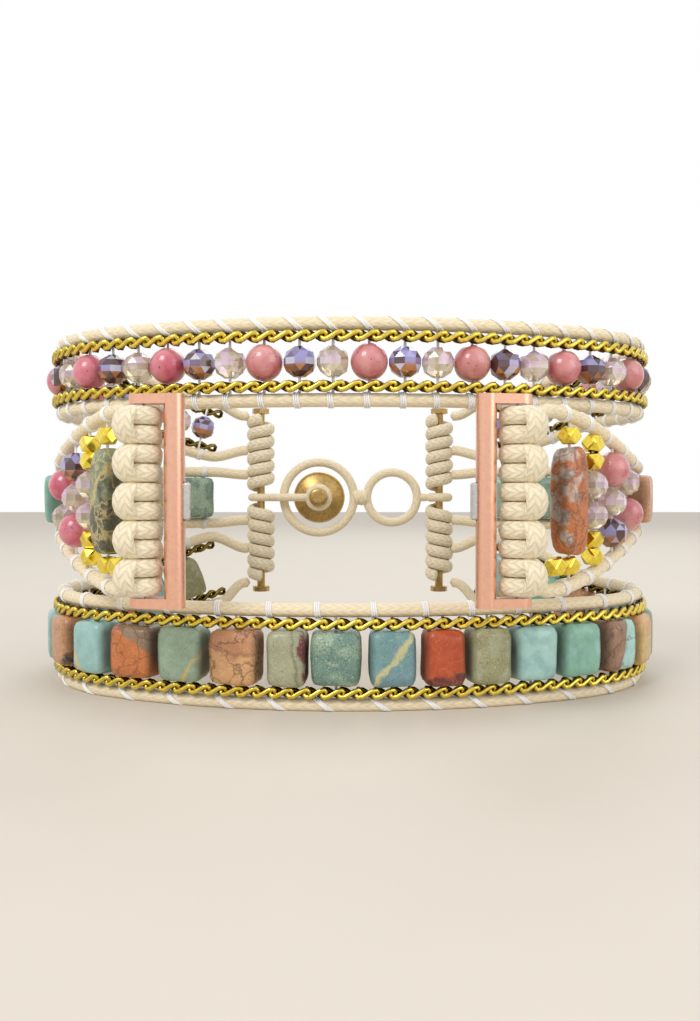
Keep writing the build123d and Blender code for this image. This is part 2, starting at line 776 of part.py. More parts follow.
# Loop strap: a hitch round the right end bar, a spare loop and the loop in use
right_bar, _ = oval(end_bar_distance)
left_bar, _ = oval(-end_bar_distance)
x_axis = Vector(1, 0, 0)
y_axis = Vector(0, 1, 0)
z_axis = Vector(0, 0, 1)
hitch_centre = Vector(right_bar.X, right_bar.Y, hitch_height)
button_x = right_bar.X - button_distance
loop_radius = loop_cord_diameter / 2
button_loop_centre = Vector(button_x, right_bar.Y, hitch_height)
button_loop_end = button_x + button_loop_radius + loop_radius
hitch_end = right_bar.X - hitch_radius - loop_radius
spare_loop_x = (button_loop_end + hitch_end) / 2
spare_loop_centre = Vector(spare_loop_x, right_bar.Y, hitch_height)
spare_loop_right = spare_loop_x + spare_loop_radius + loop_radius
spare_loop_left = spare_loop_x - spare_loop_radius - loop_radius
open_end = 360 - loop_opening_angle
with BuildPart() as loop_strap:
    tube(
        ring_planes(
            hitch_centre, -x_axis, y_axis, hitch_radius, loop_opening_angle, open_end
        ),
        loop_cord_diameter,
        knot_sides,
    )
    for knot_x in (hitch_end + spare_loop_right, button_loop_end + spare_loop_left):
        knot(Vector(knot_x / 2, right_bar.Y, hitch_height), knot_length, knot_diameter)
    tube(
        ring_planes(
            spare_loop_centre, x_axis, z_axis, spare_loop_radius, loop_opening_angle, open_end
        ),
        loop_cord_diameter,
        knot_sides,
    )
    tube(
        ring_planes(
            button_loop_centre, x_axis, z_axis, button_loop_radius, loop_opening_angle, open_end
        ),
        loop_cord_diameter,
        knot_sides,
    )
finish(loop_strap.part, "loop_strap")

# Button, which stands in the loop, and the cord that holds it to the left end bar
eye_radius = neck_diameter / 2 + eye_clearance + eye_cord_diameter / 2
neck_bottom = -eye_drop - eye_cord_diameter / 2 - foot_gap
button_plane = Plane(origin=button_loop_centre, x_dir=(-1, 0, 0), z_dir=(0, 1, 0))
with BuildPart() as button:
    with BuildSketch(button_plane.offset(button_clear)) as head:
        Circle(button_diameter / 2)
    extrude(amount=button_thickness)
    chamfer(button.faces().sort_by(Axis.Y)[-1].edges(), button_bevel)
    with BuildSketch(button_plane.offset(button_clear + button_thickness)) as hollow:
        Circle(button_hollow_diameter / 2)
    extrude(amount=-button_hollow_depth, mode=Mode.SUBTRACT)
    with BuildSketch(button_plane.offset(neck_bottom)) as neck:
        Circle(neck_diameter / 2)
    extrude(amount=button_clear - neck_bottom)
    with BuildSketch(button_plane.offset(neck_bottom)) as foot:
        Circle(foot_diameter / 2)
    extrude(amount=-foot_thickness)
finish(button.part, "button")

eye_centre = button_loop_centre - y_axis * eye_drop
left_hitch_centre = Vector(left_bar.X, left_bar.Y, hitch_height)
strand_points = [
    left_hitch_centre + Vector(hitch_radius, -strand_bite, 0),
    Vector(left_bar.X + strand_reach, left_bar.Y - eye_drop, hitch_height),
    eye_centre - Vector(eye_radius + eye_cord_diameter, 0, 0),
    eye_centre - Vector(eye_radius - strand_bite, 0, 0),
]
with BuildPart() as button_cord:
    tube(
        ring_planes(left_hitch_centre, x_axis, y_axis, hitch_radius, 0, 180),
        eye_cord_diameter,
        knot_sides,
    )
    tube(
        ring_planes(left_hitch_centre, x_axis, y_axis, hitch_radius, 180, 360),
        eye_cord_diameter,
        knot_sides,
    )
    tube(ring_planes(eye_centre, x_axis, z_axis, eye_radius, 0, 180), eye_cord_diameter, knot_sides)
    tube(
        ring_planes(eye_centre, x_axis, z_axis, eye_radius, 180, 360), eye_cord_diameter, knot_sides
    )
    tube(route_planes(strand_points, [z_axis] * len(strand_points)), eye_cord_diameter, knot_sides)
finish(button_cord.part, "button_cord")
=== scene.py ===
from math import asin, cos, pi, radians, sin

import bmesh
import bpy
import numpy as np
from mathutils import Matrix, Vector


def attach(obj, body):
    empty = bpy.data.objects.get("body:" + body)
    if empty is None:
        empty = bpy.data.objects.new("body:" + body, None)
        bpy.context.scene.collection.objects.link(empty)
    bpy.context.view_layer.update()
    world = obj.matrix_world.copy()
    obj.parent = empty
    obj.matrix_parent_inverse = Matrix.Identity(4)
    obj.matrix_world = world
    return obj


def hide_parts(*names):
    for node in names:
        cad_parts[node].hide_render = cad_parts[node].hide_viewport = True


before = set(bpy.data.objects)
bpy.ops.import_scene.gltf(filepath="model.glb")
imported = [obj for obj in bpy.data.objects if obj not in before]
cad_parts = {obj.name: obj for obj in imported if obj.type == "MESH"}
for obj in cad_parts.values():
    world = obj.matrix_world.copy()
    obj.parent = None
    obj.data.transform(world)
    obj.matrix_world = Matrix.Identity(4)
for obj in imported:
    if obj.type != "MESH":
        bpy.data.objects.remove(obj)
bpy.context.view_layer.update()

bl_info = {
    "name": "Bead watch band",
    "version": (1, 0, 0),
    "blender": (4, 5, 0),
    "location": "3D View > Sidebar > Bead band",
    "description": "Builds the cords, chains, beads, stones and lashings of a bead watch band",
    "category": "Add Mesh",
}

MM = 0.001
HANDS = {"left": -1, "right": 1}
LEVELS = {"upper": 1, "lower": -1}
UP = np.array([0.0, 0.0, 1.0])

# Sizes are in millimetres, and distances run along the oval from the middle of the front.
# Plan oval of the rows: half width, half depth, radius of the side arcs, and its middle in y
HALF_WIDTH, HALF_DEPTH, SIDE_RADIUS, CENTRE_Y = 48.5, 30.0, 24.0, 3.785
FRONT_RADIUS = ((HALF_WIDTH - SIDE_RADIUS) ** 2 + HALF_DEPTH**2 - SIDE_RADIUS**2) / (
    2 * (HALF_DEPTH - SIDE_RADIUS)
)
TURN = asin((HALF_WIDTH - SIDE_RADIUS) / (FRONT_RADIUS - SIDE_RADIUS))
FRONT_LENGTH = FRONT_RADIUS * TURN
SIDE_LENGTH = SIDE_RADIUS * (pi - 2 * TURN)
# Height of each row's middle, and half the spacing of its cords: in front, at the end bars
HEIGHTS = {"top": (49.205, 42.705), "middle": (29.705, 29.705), "bottom": (7.505, 15.905)}
SPREADS = {"top": (5.355, 3.5), "middle": (5.1, 4.6), "bottom": (6.705, 3.5)}
MIDDLE = HEIGHTS["middle"][0]
# Distances between which the rows change height, and between which their cords gather
RISE = (72.0, 104.0)
GATHER = (98.5, 104.85)
# Where the beads end, where the cords end in the end lashings, and where the end bars stand
BEAD_END, CORD_END, END_BAR = 98.0, 105.7, 108.0
# The least gap between two beads, and the radius of the rows' cords in the solids
BEAD_GAP, CORD_RADIUS = 0.12, 1.0
# Chains: spacing of the links, height, gap to the cord, and how far they stand out from it
CHAIN_PITCH, CHAIN_HEIGHT, CHAIN_SEAM, CHAIN_OUT = 2.4, 1.645, 0.03, 1.0
# Half length, half depth and half rise of a link's wire, and how square its ends are
LINK_REACH, LINK_DEPTH, LINK_RISE, LINK_ROUND = 1.58, 0.4, 0.72, 0.65
LINK_STEPS, LINK_SIDES = 12, 5
# Lug bars: their middle in x, how far each stands from it, and their place in y
GAP_X, LUG_REACH, BAR_Y = -2.6, 25.4, -32.715
# Straps: angle in degrees at which each leaves its lashing, distance at which it joins the
# oval, length of its curve's handles, and how far from the lug bar it starts
STRAP_ANGLE = {"left": 48, "right": 38}
STRAP_JOIN, STRAP_BOW, STRAP_REACH = 66.0, 14.0, 5.4
# Half the spacing of a strap's cords at its start, and the length over which it eases in
STRAP_START_SPREAD, STRAP_SPREAD_LENGTH = 12.4, 33.6
# How far a strap's cord runs on into its lashing, and how it slopes there
LASHING_REACH, LASHING_SLOPE = 2.8, 0.3
# Bead columns of the straps: the first from the strap's start, their spacing, and from the
# last column to the first square stone
COLUMN_LEAD = {"left": 3.9, "right": 4.9}
COLUMN_PITCH = {"left": 5.8, "right": 6.1}
COLUMN_TO_STONE = 6.7
# Square stones: width, height and depth, how many a strap has, and where the bottom row starts
STONE_WIDTH, STONE_HEIGHT, STONE_DEPTH = 6.6, 8.0, 5.4
STRAP_STONES, FIRST_STONE = 6, -95.7
# Distance of the rose bead in the middle of the front
MIDDLE_ROSE = 2.7


def smooth(share):
    """Ease from 0 to 1 with level ends: 3 x squared less 2 x cubed."""
    held = np.clip(share, 0, 1)
    return held * held * (3 - 2 * held)


def unit(vectors):
    """Scale each vector to length 1."""
    return vectors / np.maximum(np.linalg.norm(vectors, axis=-1, keepdims=True), 1e-12)


def around(angle, x_axis, y_axis):
    """Directions round an axis at each angle: cosine of x plus sine of y."""
    return x_axis * np.cos(angle)[:, None] + y_axis * np.sin(angle)[:, None]


def oval(distance):
    """Points and outward directions of the plan oval, by arc length from the front's middle.

    Four arcs: centre plus radius times (sine, minus cosine) of the angle turned so far.
    """
    distance = np.asarray(distance, float)
    reach, hand = np.abs(distance), np.where(distance < 0, -1.0, 1.0)
    front, side = reach < FRONT_LENGTH, reach < FRONT_LENGTH + SIDE_LENGTH
    angle = np.where(
        front,
        reach / FRONT_RADIUS,
        np.where(
            side,
            TURN + (reach - FRONT_LENGTH) / SIDE_RADIUS,
            pi - TURN + (reach - FRONT_LENGTH - SIDE_LENGTH) / FRONT_RADIUS,
        ),
    )
    radius = np.where(~front & side, SIDE_RADIUS, FRONT_RADIUS)
    centre_x = np.where(~front & side, hand * (HALF_WIDTH - SIDE_RADIUS), 0.0)
    back = HALF_DEPTH - FRONT_RADIUS
    centre_y = np.where(front, -back, np.where(side, 0.0, back)) + CENTRE_Y
    outward = np.stack([hand * np.sin(angle), -np.cos(angle)], -1)
    return np.stack([centre_x, centre_y], -1) + outward * radius[..., None], outward


def strap_curve(hand):
    """Sampled plan of a strap: a cubic Bezier from its lashing to the oval's side."""
    sign = HANDS[hand]
    lead = np.array([sign * cos(radians(STRAP_ANGLE[hand])), sin(radians(STRAP_ANGLE[hand]))])
    start = np.array([GAP_X + sign * LUG_REACH, BAR_Y]) + lead * STRAP_REACH
    join, outward = oval(sign * STRAP_JOIN)
    ahead = np.array([-sign * outward[1], sign * outward[0]])
    knots = [start, start + lead * STRAP_BOW, join - ahead * STRAP_BOW, join]
    t = np.linspace(0, 1, 400)[:, None]
    weights = [(1 - t) ** 3, 3 * t * (1 - t) ** 2, 3 * t**2 * (1 - t), t**3]
    points = sum(weight * knot for weight, knot in zip(weights, knots))
    steps = np.linalg.norm(np.diff(points, axis=0), axis=1)
    lengths = np.concatenate([[0], np.cumsum(steps)])
    return points, lengths


STRAP_CURVES = {hand: strap_curve(hand) for hand in HANDS}
STRAP_STARTS = {hand: STRAP_JOIN - STRAP_CURVES[hand][1][-1] for hand in HANDS}


def strap(hand, distance):
    """Points and outward directions of a strap's plan, by distance as on the oval."""
    distance = np.asarray(distance, float)
    points, lengths = STRAP_CURVES[hand]
    ahead = unit(np.gradient(points, axis=0))
    along = distance - STRAP_STARTS[hand]
    place = np.stack([np.interp(along, lengths, points[:, k]) for k in (0, 1)], -1)
    way = unit(np.stack([np.interp(along, lengths, ahead[:, k]) for k in (0, 1)], -1))
    side = np.stack([way[..., 1], -way[..., 0]], -1) * HANDS[hand]
    far, far_side = oval(HANDS[hand] * distance)
    joined = (distance >= STRAP_JOIN)[..., None]
    return np.where(joined, far, place), np.where(joined, far_side, side)


def row_middle(row, distance):
    """Height of a row's middle: level, then eased up or down to the end bars."""
    start, end = HEIGHTS[row]
    return start + (end - start) * smooth((np.abs(distance) - RISE[0]) / (RISE[1] - RISE[0]))


def row_spread(row, distance):
    """Half the spacing of a row's cords, eased closer at the end bars."""
    start, end = SPREADS[row]
    share = smooth((np.abs(distance) - GATHER[0]) / (GATHER[1] - GATHER[0]))
    return start + (end - start) * share


def row_frame(row, distance):
    """Middle, along, outward and up of an outer row, the slope from points 1 mm either side."""
    distance = np.asarray(distance, float)
    place, outward = oval(distance)
    step = oval(distance + 1)[0] - oval(distance - 1)[0]
    rise = row_middle(row, distance + 1) - row_middle(row, distance - 1)
    along = unit(np.concatenate([step, rise[..., None]], -1))
    outward = np.concatenate([outward, np.zeros_like(rise)[..., None]], -1)
    middle = np.concatenate([place, row_middle(row, distance)[..., None]], -1)
    return middle, along, outward, np.cross(outward, along)


def strap_cord_points(hand, distance, level):
    """Points of a strap's cord: the plan, with a spread that eases in from the lug bar."""
    place, outward = strap(hand, distance)
    along = (distance - STRAP_STARTS[hand]) / STRAP_SPREAD_LENGTH
    widened = (STRAP_START_SPREAD - SPREADS["middle"][0]) * (1 - smooth(along))
    height = row_middle("middle", distance) + level * (row_spread("middle", distance) + widened)
    outward = np.concatenate([outward, np.zeros_like(height)[:, None]], -1)
    return np.concatenate([place, height[:, None]], -1), outward


def strap_columns(hand):
    """Distances of a strap's four bead columns."""
    return STRAP_STARTS[hand] + COLUMN_LEAD[hand] + np.arange(4) * COLUMN_PITCH[hand]


def strap_stone_distances(hand):
    """Distances of a strap's square stones, even from past the last column to the row's end."""
    first = strap_columns(hand)[-1] + COLUMN_TO_STONE
    return np.linspace(first, BEAD_END - STONE_WIDTH / 2, STRAP_STONES)


def mesh_piece(name, points, faces, body, material, replaced, attributes=None, flat=False):
    """Make one object from arrays of corners in millimetres and of quads or triangles."""
    mesh = bpy.data.meshes.new(name)
    counts = [len(face) for face in faces]
    loops = np.concatenate([face.ravel() for face in faces]).astype(np.int32)
    sizes = np.concatenate([np.full(n, face.shape[1]) for n, face in zip(counts, faces)])
    mesh.vertices.add(len(points))
    mesh.vertices.foreach_set("co", (points * MM).astype(np.float32).ravel())
    mesh.loops.add(len(loops))
    mesh.loops.foreach_set("vertex_index", loops)
    mesh.polygons.add(len(sizes))
    starts = np.concatenate([[0], np.cumsum(sizes)[:-1]]).astype(np.int32)
    mesh.polygons.foreach_set("loop_start", starts)
    mesh.polygons.foreach_set("loop_total", sizes.astype(np.int32))
    mesh.update(calc_edges=True)
    mesh.validate()
    for key, values in (attributes or {}).items():
        if key == "UVMap":
            layer = mesh.uv_layers.new(name=key)
            layer.data.foreach_set("uv", values.astype(np.float32).ravel())
            continue
        kind = "FLOAT_COLOR" if values.ndim == 2 else "FLOAT"
        domain = "POINT" if len(values) == len(points) else "FACE"
        layer = mesh.attributes.new(key, kind, domain)
        layer.data.foreach_set(
            "color" if values.ndim == 2 else "value", values.astype(np.float32).ravel()
        )
    mesh.polygons.foreach_set("use_smooth", np.full(len(sizes), not flat))
    mesh.materials.append(material)
    piece = bpy.data.objects.new(name, mesh)
    bpy.context.scene.collection.objects.link(piece)
    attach(piece, body)
    if replaced:
        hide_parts(*replaced)
    return piece


def grid_faces(rows, columns, first=0, closed_rows=False):
    """Quads of a grid whose columns wrap round, and whose rows may wrap too."""
    r = np.arange(rows if closed_rows else rows - 1)[:, None]
    c = np.arange(columns)[None, :]
    nxt, wrap = (r + 1) % rows, (c + 1) % columns
    quads = [r * columns + c, r * columns + wrap, nxt * columns + wrap, nxt * columns + c]
    return np.stack(quads, -1).reshape(-1, 4) + first


class Batch:
    """Grids gathered into one mesh, each with UVs in millimetres."""

    def __init__(self):
        self.points, self.quads, self.fans, self.uvs, self.fan_uvs = [], [], [], [], []
        self.count = 0

    def add(self, grid, uv=None, closed_rows=False):
        """Add a grid of rings; open ends are closed by fans to the middle of the end ring."""
        rows, columns, _ = grid.shape
        first = self.count
        faces = grid_faces(rows, columns, first, closed_rows)
        self.points.append(grid.reshape(-1, 3))
        self.quads.append(faces)
        if uv is None:
            uv = np.zeros((rows + 1, columns + 1, 2))
        r = np.arange(rows if closed_rows else rows - 1)[:, None]
        c = np.arange(columns)[None, :]
        corner = np.stack([uv[r, c], uv[r, c + 1], uv[r + 1, c + 1], uv[r + 1, c]], -2)
        self.uvs.append(corner.reshape(-1, 2))
        self.count += rows * columns
        if not closed_rows:
            c = np.arange(columns)
            for row, order in ((0, -1), (rows - 1, 1)):
                ring = first + row * columns + c
                middle = np.full(columns, self.count)
                fan = np.stack([ring, np.roll(ring, -1), middle], -1)[:, ::order]
                self.points.append(grid[row].mean(0)[None])
                self.fans.append(fan)
                self.fan_uvs.append(np.repeat(uv[row, :1], columns * 3, 0))
                self.count += 1

    def build(self, name, body, material, replaced):
        """Make the mesh object from everything added."""
        faces = [np.concatenate(self.quads)]
        uvs = [np.concatenate(self.uvs)]
        if self.fans:
            faces.append(np.concatenate(self.fans))
            uvs.append(np.concatenate(self.fan_uvs))
        points, attributes = np.concatenate(self.points), {"UVMap": np.concatenate(uvs)}
        return mesh_piece(name, points, faces, body, material, replaced, attributes)


def sweep(points, normals, radius, side_count, flatten=1.0):
    """Grid of rings along a path: point + radius (cosine across + sine along the normal).

    Across is tangent times normal. Flatten squeezes the rings along the normal.
    """
    tangent = unit(np.gradient(points, axis=0))
    normal = unit(normals - tangent * np.sum(normals * tangent, 1, keepdims=True))
    across = np.cross(tangent, normal)
    angle = np.linspace(0, 2 * pi, side_count, endpoint=False)
    radius = np.broadcast_to(np.asarray(radius, float), (len(points),))[:, None, None]
    spokes = (
        across[:, None] * np.cos(angle)[None, :, None]
        + normal[:, None] * (np.sin(angle) * flatten)[None, :, None]
    )
    return points[:, None] + spokes * radius


def sweep_uv(points, side_count):
    """UVs of a swept grid: u counts once round, v is the length along in millimetres."""
    steps = np.linalg.norm(np.diff(points, axis=0), axis=1)
    length = np.concatenate([[0], np.cumsum(steps), [steps.sum() + steps[-1]]])
    u = np.linspace(0, 1, side_count + 1)
    return np.stack(
        [
            np.broadcast_to(u, (len(length), side_count + 1)),
            np.broadcast_to(length[:, None], (len(length), side_count + 1)),
        ],
        -1,
    )


def rounded_ends(points, radius):
    """Radii of a cord whose two ends close like a dome, by the root of 1 minus x squared."""
    dome, least = 0.6 * radius, 0.02
    steps = np.linalg.norm(np.diff(points, axis=0), axis=1)
    length = np.concatenate([[0], np.cumsum(steps)])
    near = np.minimum(length, length[-1] - length) / dome
    return radius * np.sqrt(np.clip(1 - (1 - np.clip(near, least, 1)) ** 2, 0, 1))


def closed_sweep(points, normals, radius, side_count):
    """Grid of rings along a closed path, as sweep does, with the tangent taken round the end."""
    tangent = unit(np.roll(points, -1, 0) - np.roll(points, 1, 0))
    normal = unit(normals - tangent * np.sum(normals * tangent, -1, keepdims=True))
    across = np.cross(tangent, normal)
    angle = np.linspace(0, 2 * pi, side_count, endpoint=False)[None, :, None]
    return points[:, None] + radius * (
        across[:, None] * np.cos(angle) + normal[:, None] * np.sin(angle)
    )


def lathe(profile, side_count):
    """Grid of level rings: each profile pair gives a ring's radius and its height."""
    angle = np.linspace(0, 2 * pi, side_count, endpoint=False)
    radius, height = np.array(profile, float).T
    ring = np.stack([np.cos(angle), np.sin(angle)], -1)
    flat = radius[:, None, None] * ring[None]
    level = np.broadcast_to(height[:, None, None], flat.shape[:2] + (1,))
    return np.concatenate([flat, level], -1)


def capped(grid):
    """Corners and faces of a grid of rings whose two ends are closed by fans."""
    rows, columns, _ = grid.shape
    points = np.concatenate([grid.reshape(-1, 3), grid[0].mean(0)[None], grid[-1].mean(0)[None]])
    ring = np.arange(columns)
    nxt = np.roll(ring, -1)
    low = np.stack([nxt, ring, np.full(columns, rows * columns)], -1)
    last = (rows - 1) * columns
    high = np.stack([last + ring, last + nxt, np.full(columns, rows * columns + 1)], -1)
    return points, [grid_faces(rows, columns), low, high]


def placed(points, faces, origins, axes):
    """Copies of a form: corner = origin + x along + y away from the outside + z up."""
    count, size = len(origins), points.shape[-2]
    shape = np.broadcast_to(points, (count, size, 3))
    corners = origins[:, None] + np.einsum("nvk,nkc->nvc", shape, axes)
    step = (np.arange(count) * size)[:, None, None]
    return corners.reshape(-1, 3), [
        (face[None] + step).reshape(-1, face.shape[1]) for face in faces
    ]


def row_axes(row, distances):
    """Origins and axes of the beads of an outer row."""
    middle, along, outward, up = row_frame(row, np.asarray(distances, float))
    return middle, np.stack([along, np.cross(up, along), up], 1)


def strap_axes(hand, distances, heights):
    """Origins and axes of the beads of a strap, which stand upright."""
    place, outward = strap(hand, np.asarray(distances, float))
    heights = np.broadcast_to(heights, len(place))[:, None]
    outward = np.concatenate([outward, np.zeros_like(heights)], -1)
    up = np.broadcast_to(UP, outward.shape)
    axes = np.stack([np.cross(up, outward), -outward, up], 1)
    return np.concatenate([place, heights], -1), axes


def rgb(red, green, blue):
    """A colour as seen on a screen, 0 to 255, as the linear values that shaders use."""
    seen = np.array([red, green, blue]) / 255
    linear = np.where(seen <= 0.04045, seen / 12.92, ((seen + 0.055) / 1.055) ** 2.4)
    return tuple(float(value) for value in linear)


def add_node(tree, kind, inputs=None, **settings):
    """Add a node, set its properties, and then set or link its inputs."""
    node = tree.nodes.new(kind)
    for key, value in settings.items():
        setattr(node, key, value)
    for key, value in (inputs or {}).items():
        if isinstance(value, bpy.types.NodeSocket):
            tree.links.new(value, node.inputs[key])
        else:
            node.inputs[key].default_value = value
    return node


def maths(tree, operation, *values):
    """Add a Math node and give its output."""
    return add_node(
        tree, "ShaderNodeMath", dict(enumerate(values)), operation=operation
    ).outputs[0]


def blended(tree, share, first, second):
    """Mix two colours by a share and give the result."""
    values = {0: share, 6: first, 7: second}
    for key in (6, 7):
        if not isinstance(values[key], bpy.types.NodeSocket):
            values[key] = (*values[key], 1.0)
    return add_node(tree, "ShaderNodeMix", values, data_type="RGBA").outputs[2]


def ramp(tree, share, low, high):
    """Stretch a value so that low becomes 0 and high becomes 1."""
    return add_node(
        tree, "ShaderNodeMapRange", {0: share, 1: low, 2: high}, clamp=True
    ).outputs[0]


def attribute(tree, name, output="Fac"):
    """Read a value that the mesh carries."""
    return add_node(tree, "ShaderNodeAttribute", attribute_name=name).outputs[output]


def vector_maths(tree, operation, first, second):
    """Add a Vector Math node and give its output."""
    return add_node(
        tree, "ShaderNodeVectorMath", {0: first, 1: second}, operation=operation
    ).outputs[0]


def object_place(tree, offset=None):
    """The object's own coordinates, moved along all three axes by an offset if there is one."""
    place = add_node(tree, "ShaderNodeTexCoord").outputs["Object"]
    if offset is None:
        return place
    shift = add_node(tree, "ShaderNodeCombineXYZ", {0: offset, 1: offset, 2: offset})
    return vector_maths(tree, "ADD", place, shift.outputs[0])


def object_noise(tree, scale, detail, offset=None, output="Fac"):
    """Noise on the object's own coordinates."""
    values = {"Vector": object_place(tree, offset), "Scale": scale, "Detail": detail}
    return add_node(tree, "ShaderNodeTexNoise", values).outputs[output]


def put_group(tree, group, **values):
    """Place a node group with its own values and give its outputs."""
    named = {key.replace("_", " "): value for key, value in values.items()}
    return add_node(tree, "ShaderNodeGroup", named, node_tree=group).outputs


def node_group(name, inputs, outputs):
    """Start a shader node group with named float inputs, their defaults, and named outputs."""
    tree = bpy.data.node_groups.new(name, "ShaderNodeTree")
    for key, value in inputs.items():
        socket = tree.interface.new_socket(key, in_out="INPUT", socket_type="NodeSocketFloat")
        socket.default_value = value
    for key in outputs:
        tree.interface.new_socket(key, in_out="OUTPUT", socket_type="NodeSocketFloat")
    return tree, tree.nodes.new("NodeGroupInput").outputs, tree.nodes.new("NodeGroupOutput").inputs


def braid_group():
    """Herringbone braid on UVs: stitches slant one way, then the other, round the cord."""
    inputs = {"Stitch": 1.0, "Plies": 4.0, "Slant": 0.9, "Wobble": 0.6}
    tree, given, result = node_group("Cord braid", inputs, ("Height", "Fibre"))
    uv = add_node(tree, "ShaderNodeUVMap", uv_map="UVMap").outputs[0]
    place = add_node(tree, "ShaderNodeSeparateXYZ", {0: uv})
    fold = maths(tree, "PINGPONG", maths(tree, "MULTIPLY", place.outputs[0], given["Plies"]), 0.5)
    fold = maths(tree, "MULTIPLY", fold, 2.0)
    lean = maths(tree, "MULTIPLY", fold, given["Slant"])
    phase = maths(tree, "ADD", maths(tree, "DIVIDE", place.outputs[1], given["Stitch"]), lean)
    phase = maths(tree, "MULTIPLY_ADD", object_noise(tree, 900.0, 3.0), given["Wobble"], phase)
    stitch = maths(tree, "SINE", maths(tree, "MULTIPLY", maths(tree, "FRACT", phase), pi))
    column = maths(tree, "SINE", maths(tree, "MULTIPLY", fold, pi))
    column = maths(tree, "POWER", maths(tree, "MAXIMUM", column, 0.001), 0.4)
    stitch = maths(tree, "POWER", maths(tree, "MAXIMUM", stitch, 0.001), 0.6)
    height = maths(tree, "MULTIPLY", stitch, maths(tree, "MULTIPLY_ADD", column, 0.6, 0.4))
    tree.links.new(height, result["Height"])
    tree.links.new(object_noise(tree, 2600.0, 4.0), result["Fibre"])
    return tree


def stone_group():
    """Figure of stone on object coordinates, shifted by each stone's seed.

    Veins are the edges of cells whose place is bent by noise, patches, clouds and specks noise.
    """
    inputs = {"Seed": 0.0, "Patch Scale": 260.0, "Vein Scale": 200.0, "Vein Width": 0.05}
    tree, given, result = node_group("Stone figure", inputs, ("Patch", "Vein", "Speck", "Cloud"))
    vein_bend = 0.006
    seed, patch_scale = given["Seed"], given["Patch Scale"]
    warp = object_noise(tree, patch_scale, 4.0, seed, "Color")
    bend = vector_maths(tree, "SUBTRACT", warp, (0.5, 0.5, 0.5))
    bend = vector_maths(tree, "MULTIPLY", bend, (vein_bend, vein_bend, vein_bend))
    place = vector_maths(tree, "ADD", object_place(tree, seed), bend)
    values = {"Vector": place, "Scale": given["Vein Scale"]}
    cells = add_node(tree, "ShaderNodeTexVoronoi", values, feature="DISTANCE_TO_EDGE")
    width = maths(tree, "DIVIDE", cells.outputs["Distance"], given["Vein Width"])
    vein = maths(tree, "MAXIMUM", maths(tree, "SUBTRACT", 1.0, width), 0.0)
    tree.links.new(object_noise(tree, patch_scale, 5.0, seed), result["Patch"])
    tree.links.new(vein, result["Vein"])
    tree.links.new(object_noise(tree, 5200.0, 3.0, seed), result["Speck"])
    tree.links.new(ramp(tree, object_noise(tree, 620.0, 5.0), 0.3, 0.7), result["Cloud"])
    return tree


def scuff_and_shade_group():
    """Wear of metal: fine scuffs, and how bright it is, dulled by the scuffs and by painted shade
    where unlit.
    """
    inputs = {"Dulling": 0.4, "Lit": 1.0}
    tree, given, result = node_group("Metal scuffs and shade", inputs, ("Scuff", "Bright"))
    scuff = object_noise(tree, 1800.0, 4.0)
    rest = maths(tree, "SUBTRACT", 1.0, given["Dulling"])
    bright = maths(tree, "MULTIPLY_ADD", ramp(tree, scuff, 0.3, 0.6), given["Dulling"], rest)
    tree.links.new(scuff, result["Scuff"])
    # Painted shade: Lit dims the brightness where the metal counts as unlit
    tree.links.new(maths(tree, "MULTIPLY", bright, given["Lit"]), result["Bright"])
    return tree


def facet_group():
    """Masks of cut glass: facets of the foot and of the crown painted bright as reflections, the
    crown, and sparks of painted highlight.
    """
    masks = ("Foot", "Crown", "Height", "Spark", "Roughness")
    tree, given, result = node_group("Crystal facets", {"Facet": 0.5, "Rise": 0.5}, masks)
    facet = given["Facet"]
    tree.links.new(ramp(tree, facet, 0.3, 0.62), result["Foot"])
    tree.links.new(ramp(tree, facet, 0.34, 0.5), result["Crown"])
    tree.links.new(ramp(tree, given["Rise"], 0.32, 0.5), result["Height"])
    tree.links.new(ramp(tree, facet, 0.9, 0.94), result["Spark"])
    tree.links.new(maths(tree, "MULTIPLY_ADD", facet, 0.06, 0.04), result["Roughness"])
    return tree


MADE = {}


def once(make):
    """Make a node group or a material once, and give it again when asked again."""
    if make not in MADE:
        MADE[make] = make()
    return MADE[make]


def start_finish(name, **sockets):
    """Start a material and set the constants of its Principled shader."""
    material = bpy.data.materials.new(name)
    material.use_nodes = True
    tree = material.node_tree
    shader = tree.nodes["Principled BSDF"]
    for key, value in sockets.items():
        shader.inputs[key.replace("_", " ")].default_value = value
    return material, tree, shader


def set_surface(tree, shader, colour, roughness):
    """Drive the shader's colour and roughness."""
    tree.links.new(colour, shader.inputs["Base Color"])
    tree.links.new(roughness, shader.inputs["Roughness"])


def add_bump(tree, shader, height, strength, distance):
    """Drive the shader's normal by a height, the distance in millimetres."""
    bump = add_node(
        tree,
        "ShaderNodeBump",
        {"Strength": strength, "Distance": distance * MM, "Height": height},
    )
    tree.links.new(bump.outputs[0], shader.inputs["Normal"])


def cord_finish(name, colour, shadow, stitch, plies, strength, roughness):
    """Braided cord: stitches from the braid group, painted shade in the grooves, with fine fibre.
    """
    material, tree, shader = start_finish(name, Specular_IOR_Level=0.25, Sheen_Weight=0.15)
    height, fibre = put_group(tree, once(braid_group), Stitch=stitch, Plies=plies)
    shadow = tuple(value * shadow for value in colour)
    tone = maths(tree, "MULTIPLY", ramp(tree, fibre, 0.25, 0.75), 0.35)
    # Painted shade: the grooves between stitches take the shadow colour; the fibre tone is the
    # cord's own
    share = maths(tree, "ADD", maths(tree, "MULTIPLY", height, 0.65), tone)
    rough = maths(tree, "MULTIPLY_ADD", fibre, 0.3, roughness - 0.15)
    set_surface(tree, shader, blended(tree, share, shadow, colour), rough)
    add_bump(tree, shader, maths(tree, "MULTIPLY_ADD", fibre, 0.25, height), strength, 0.25)
    return material


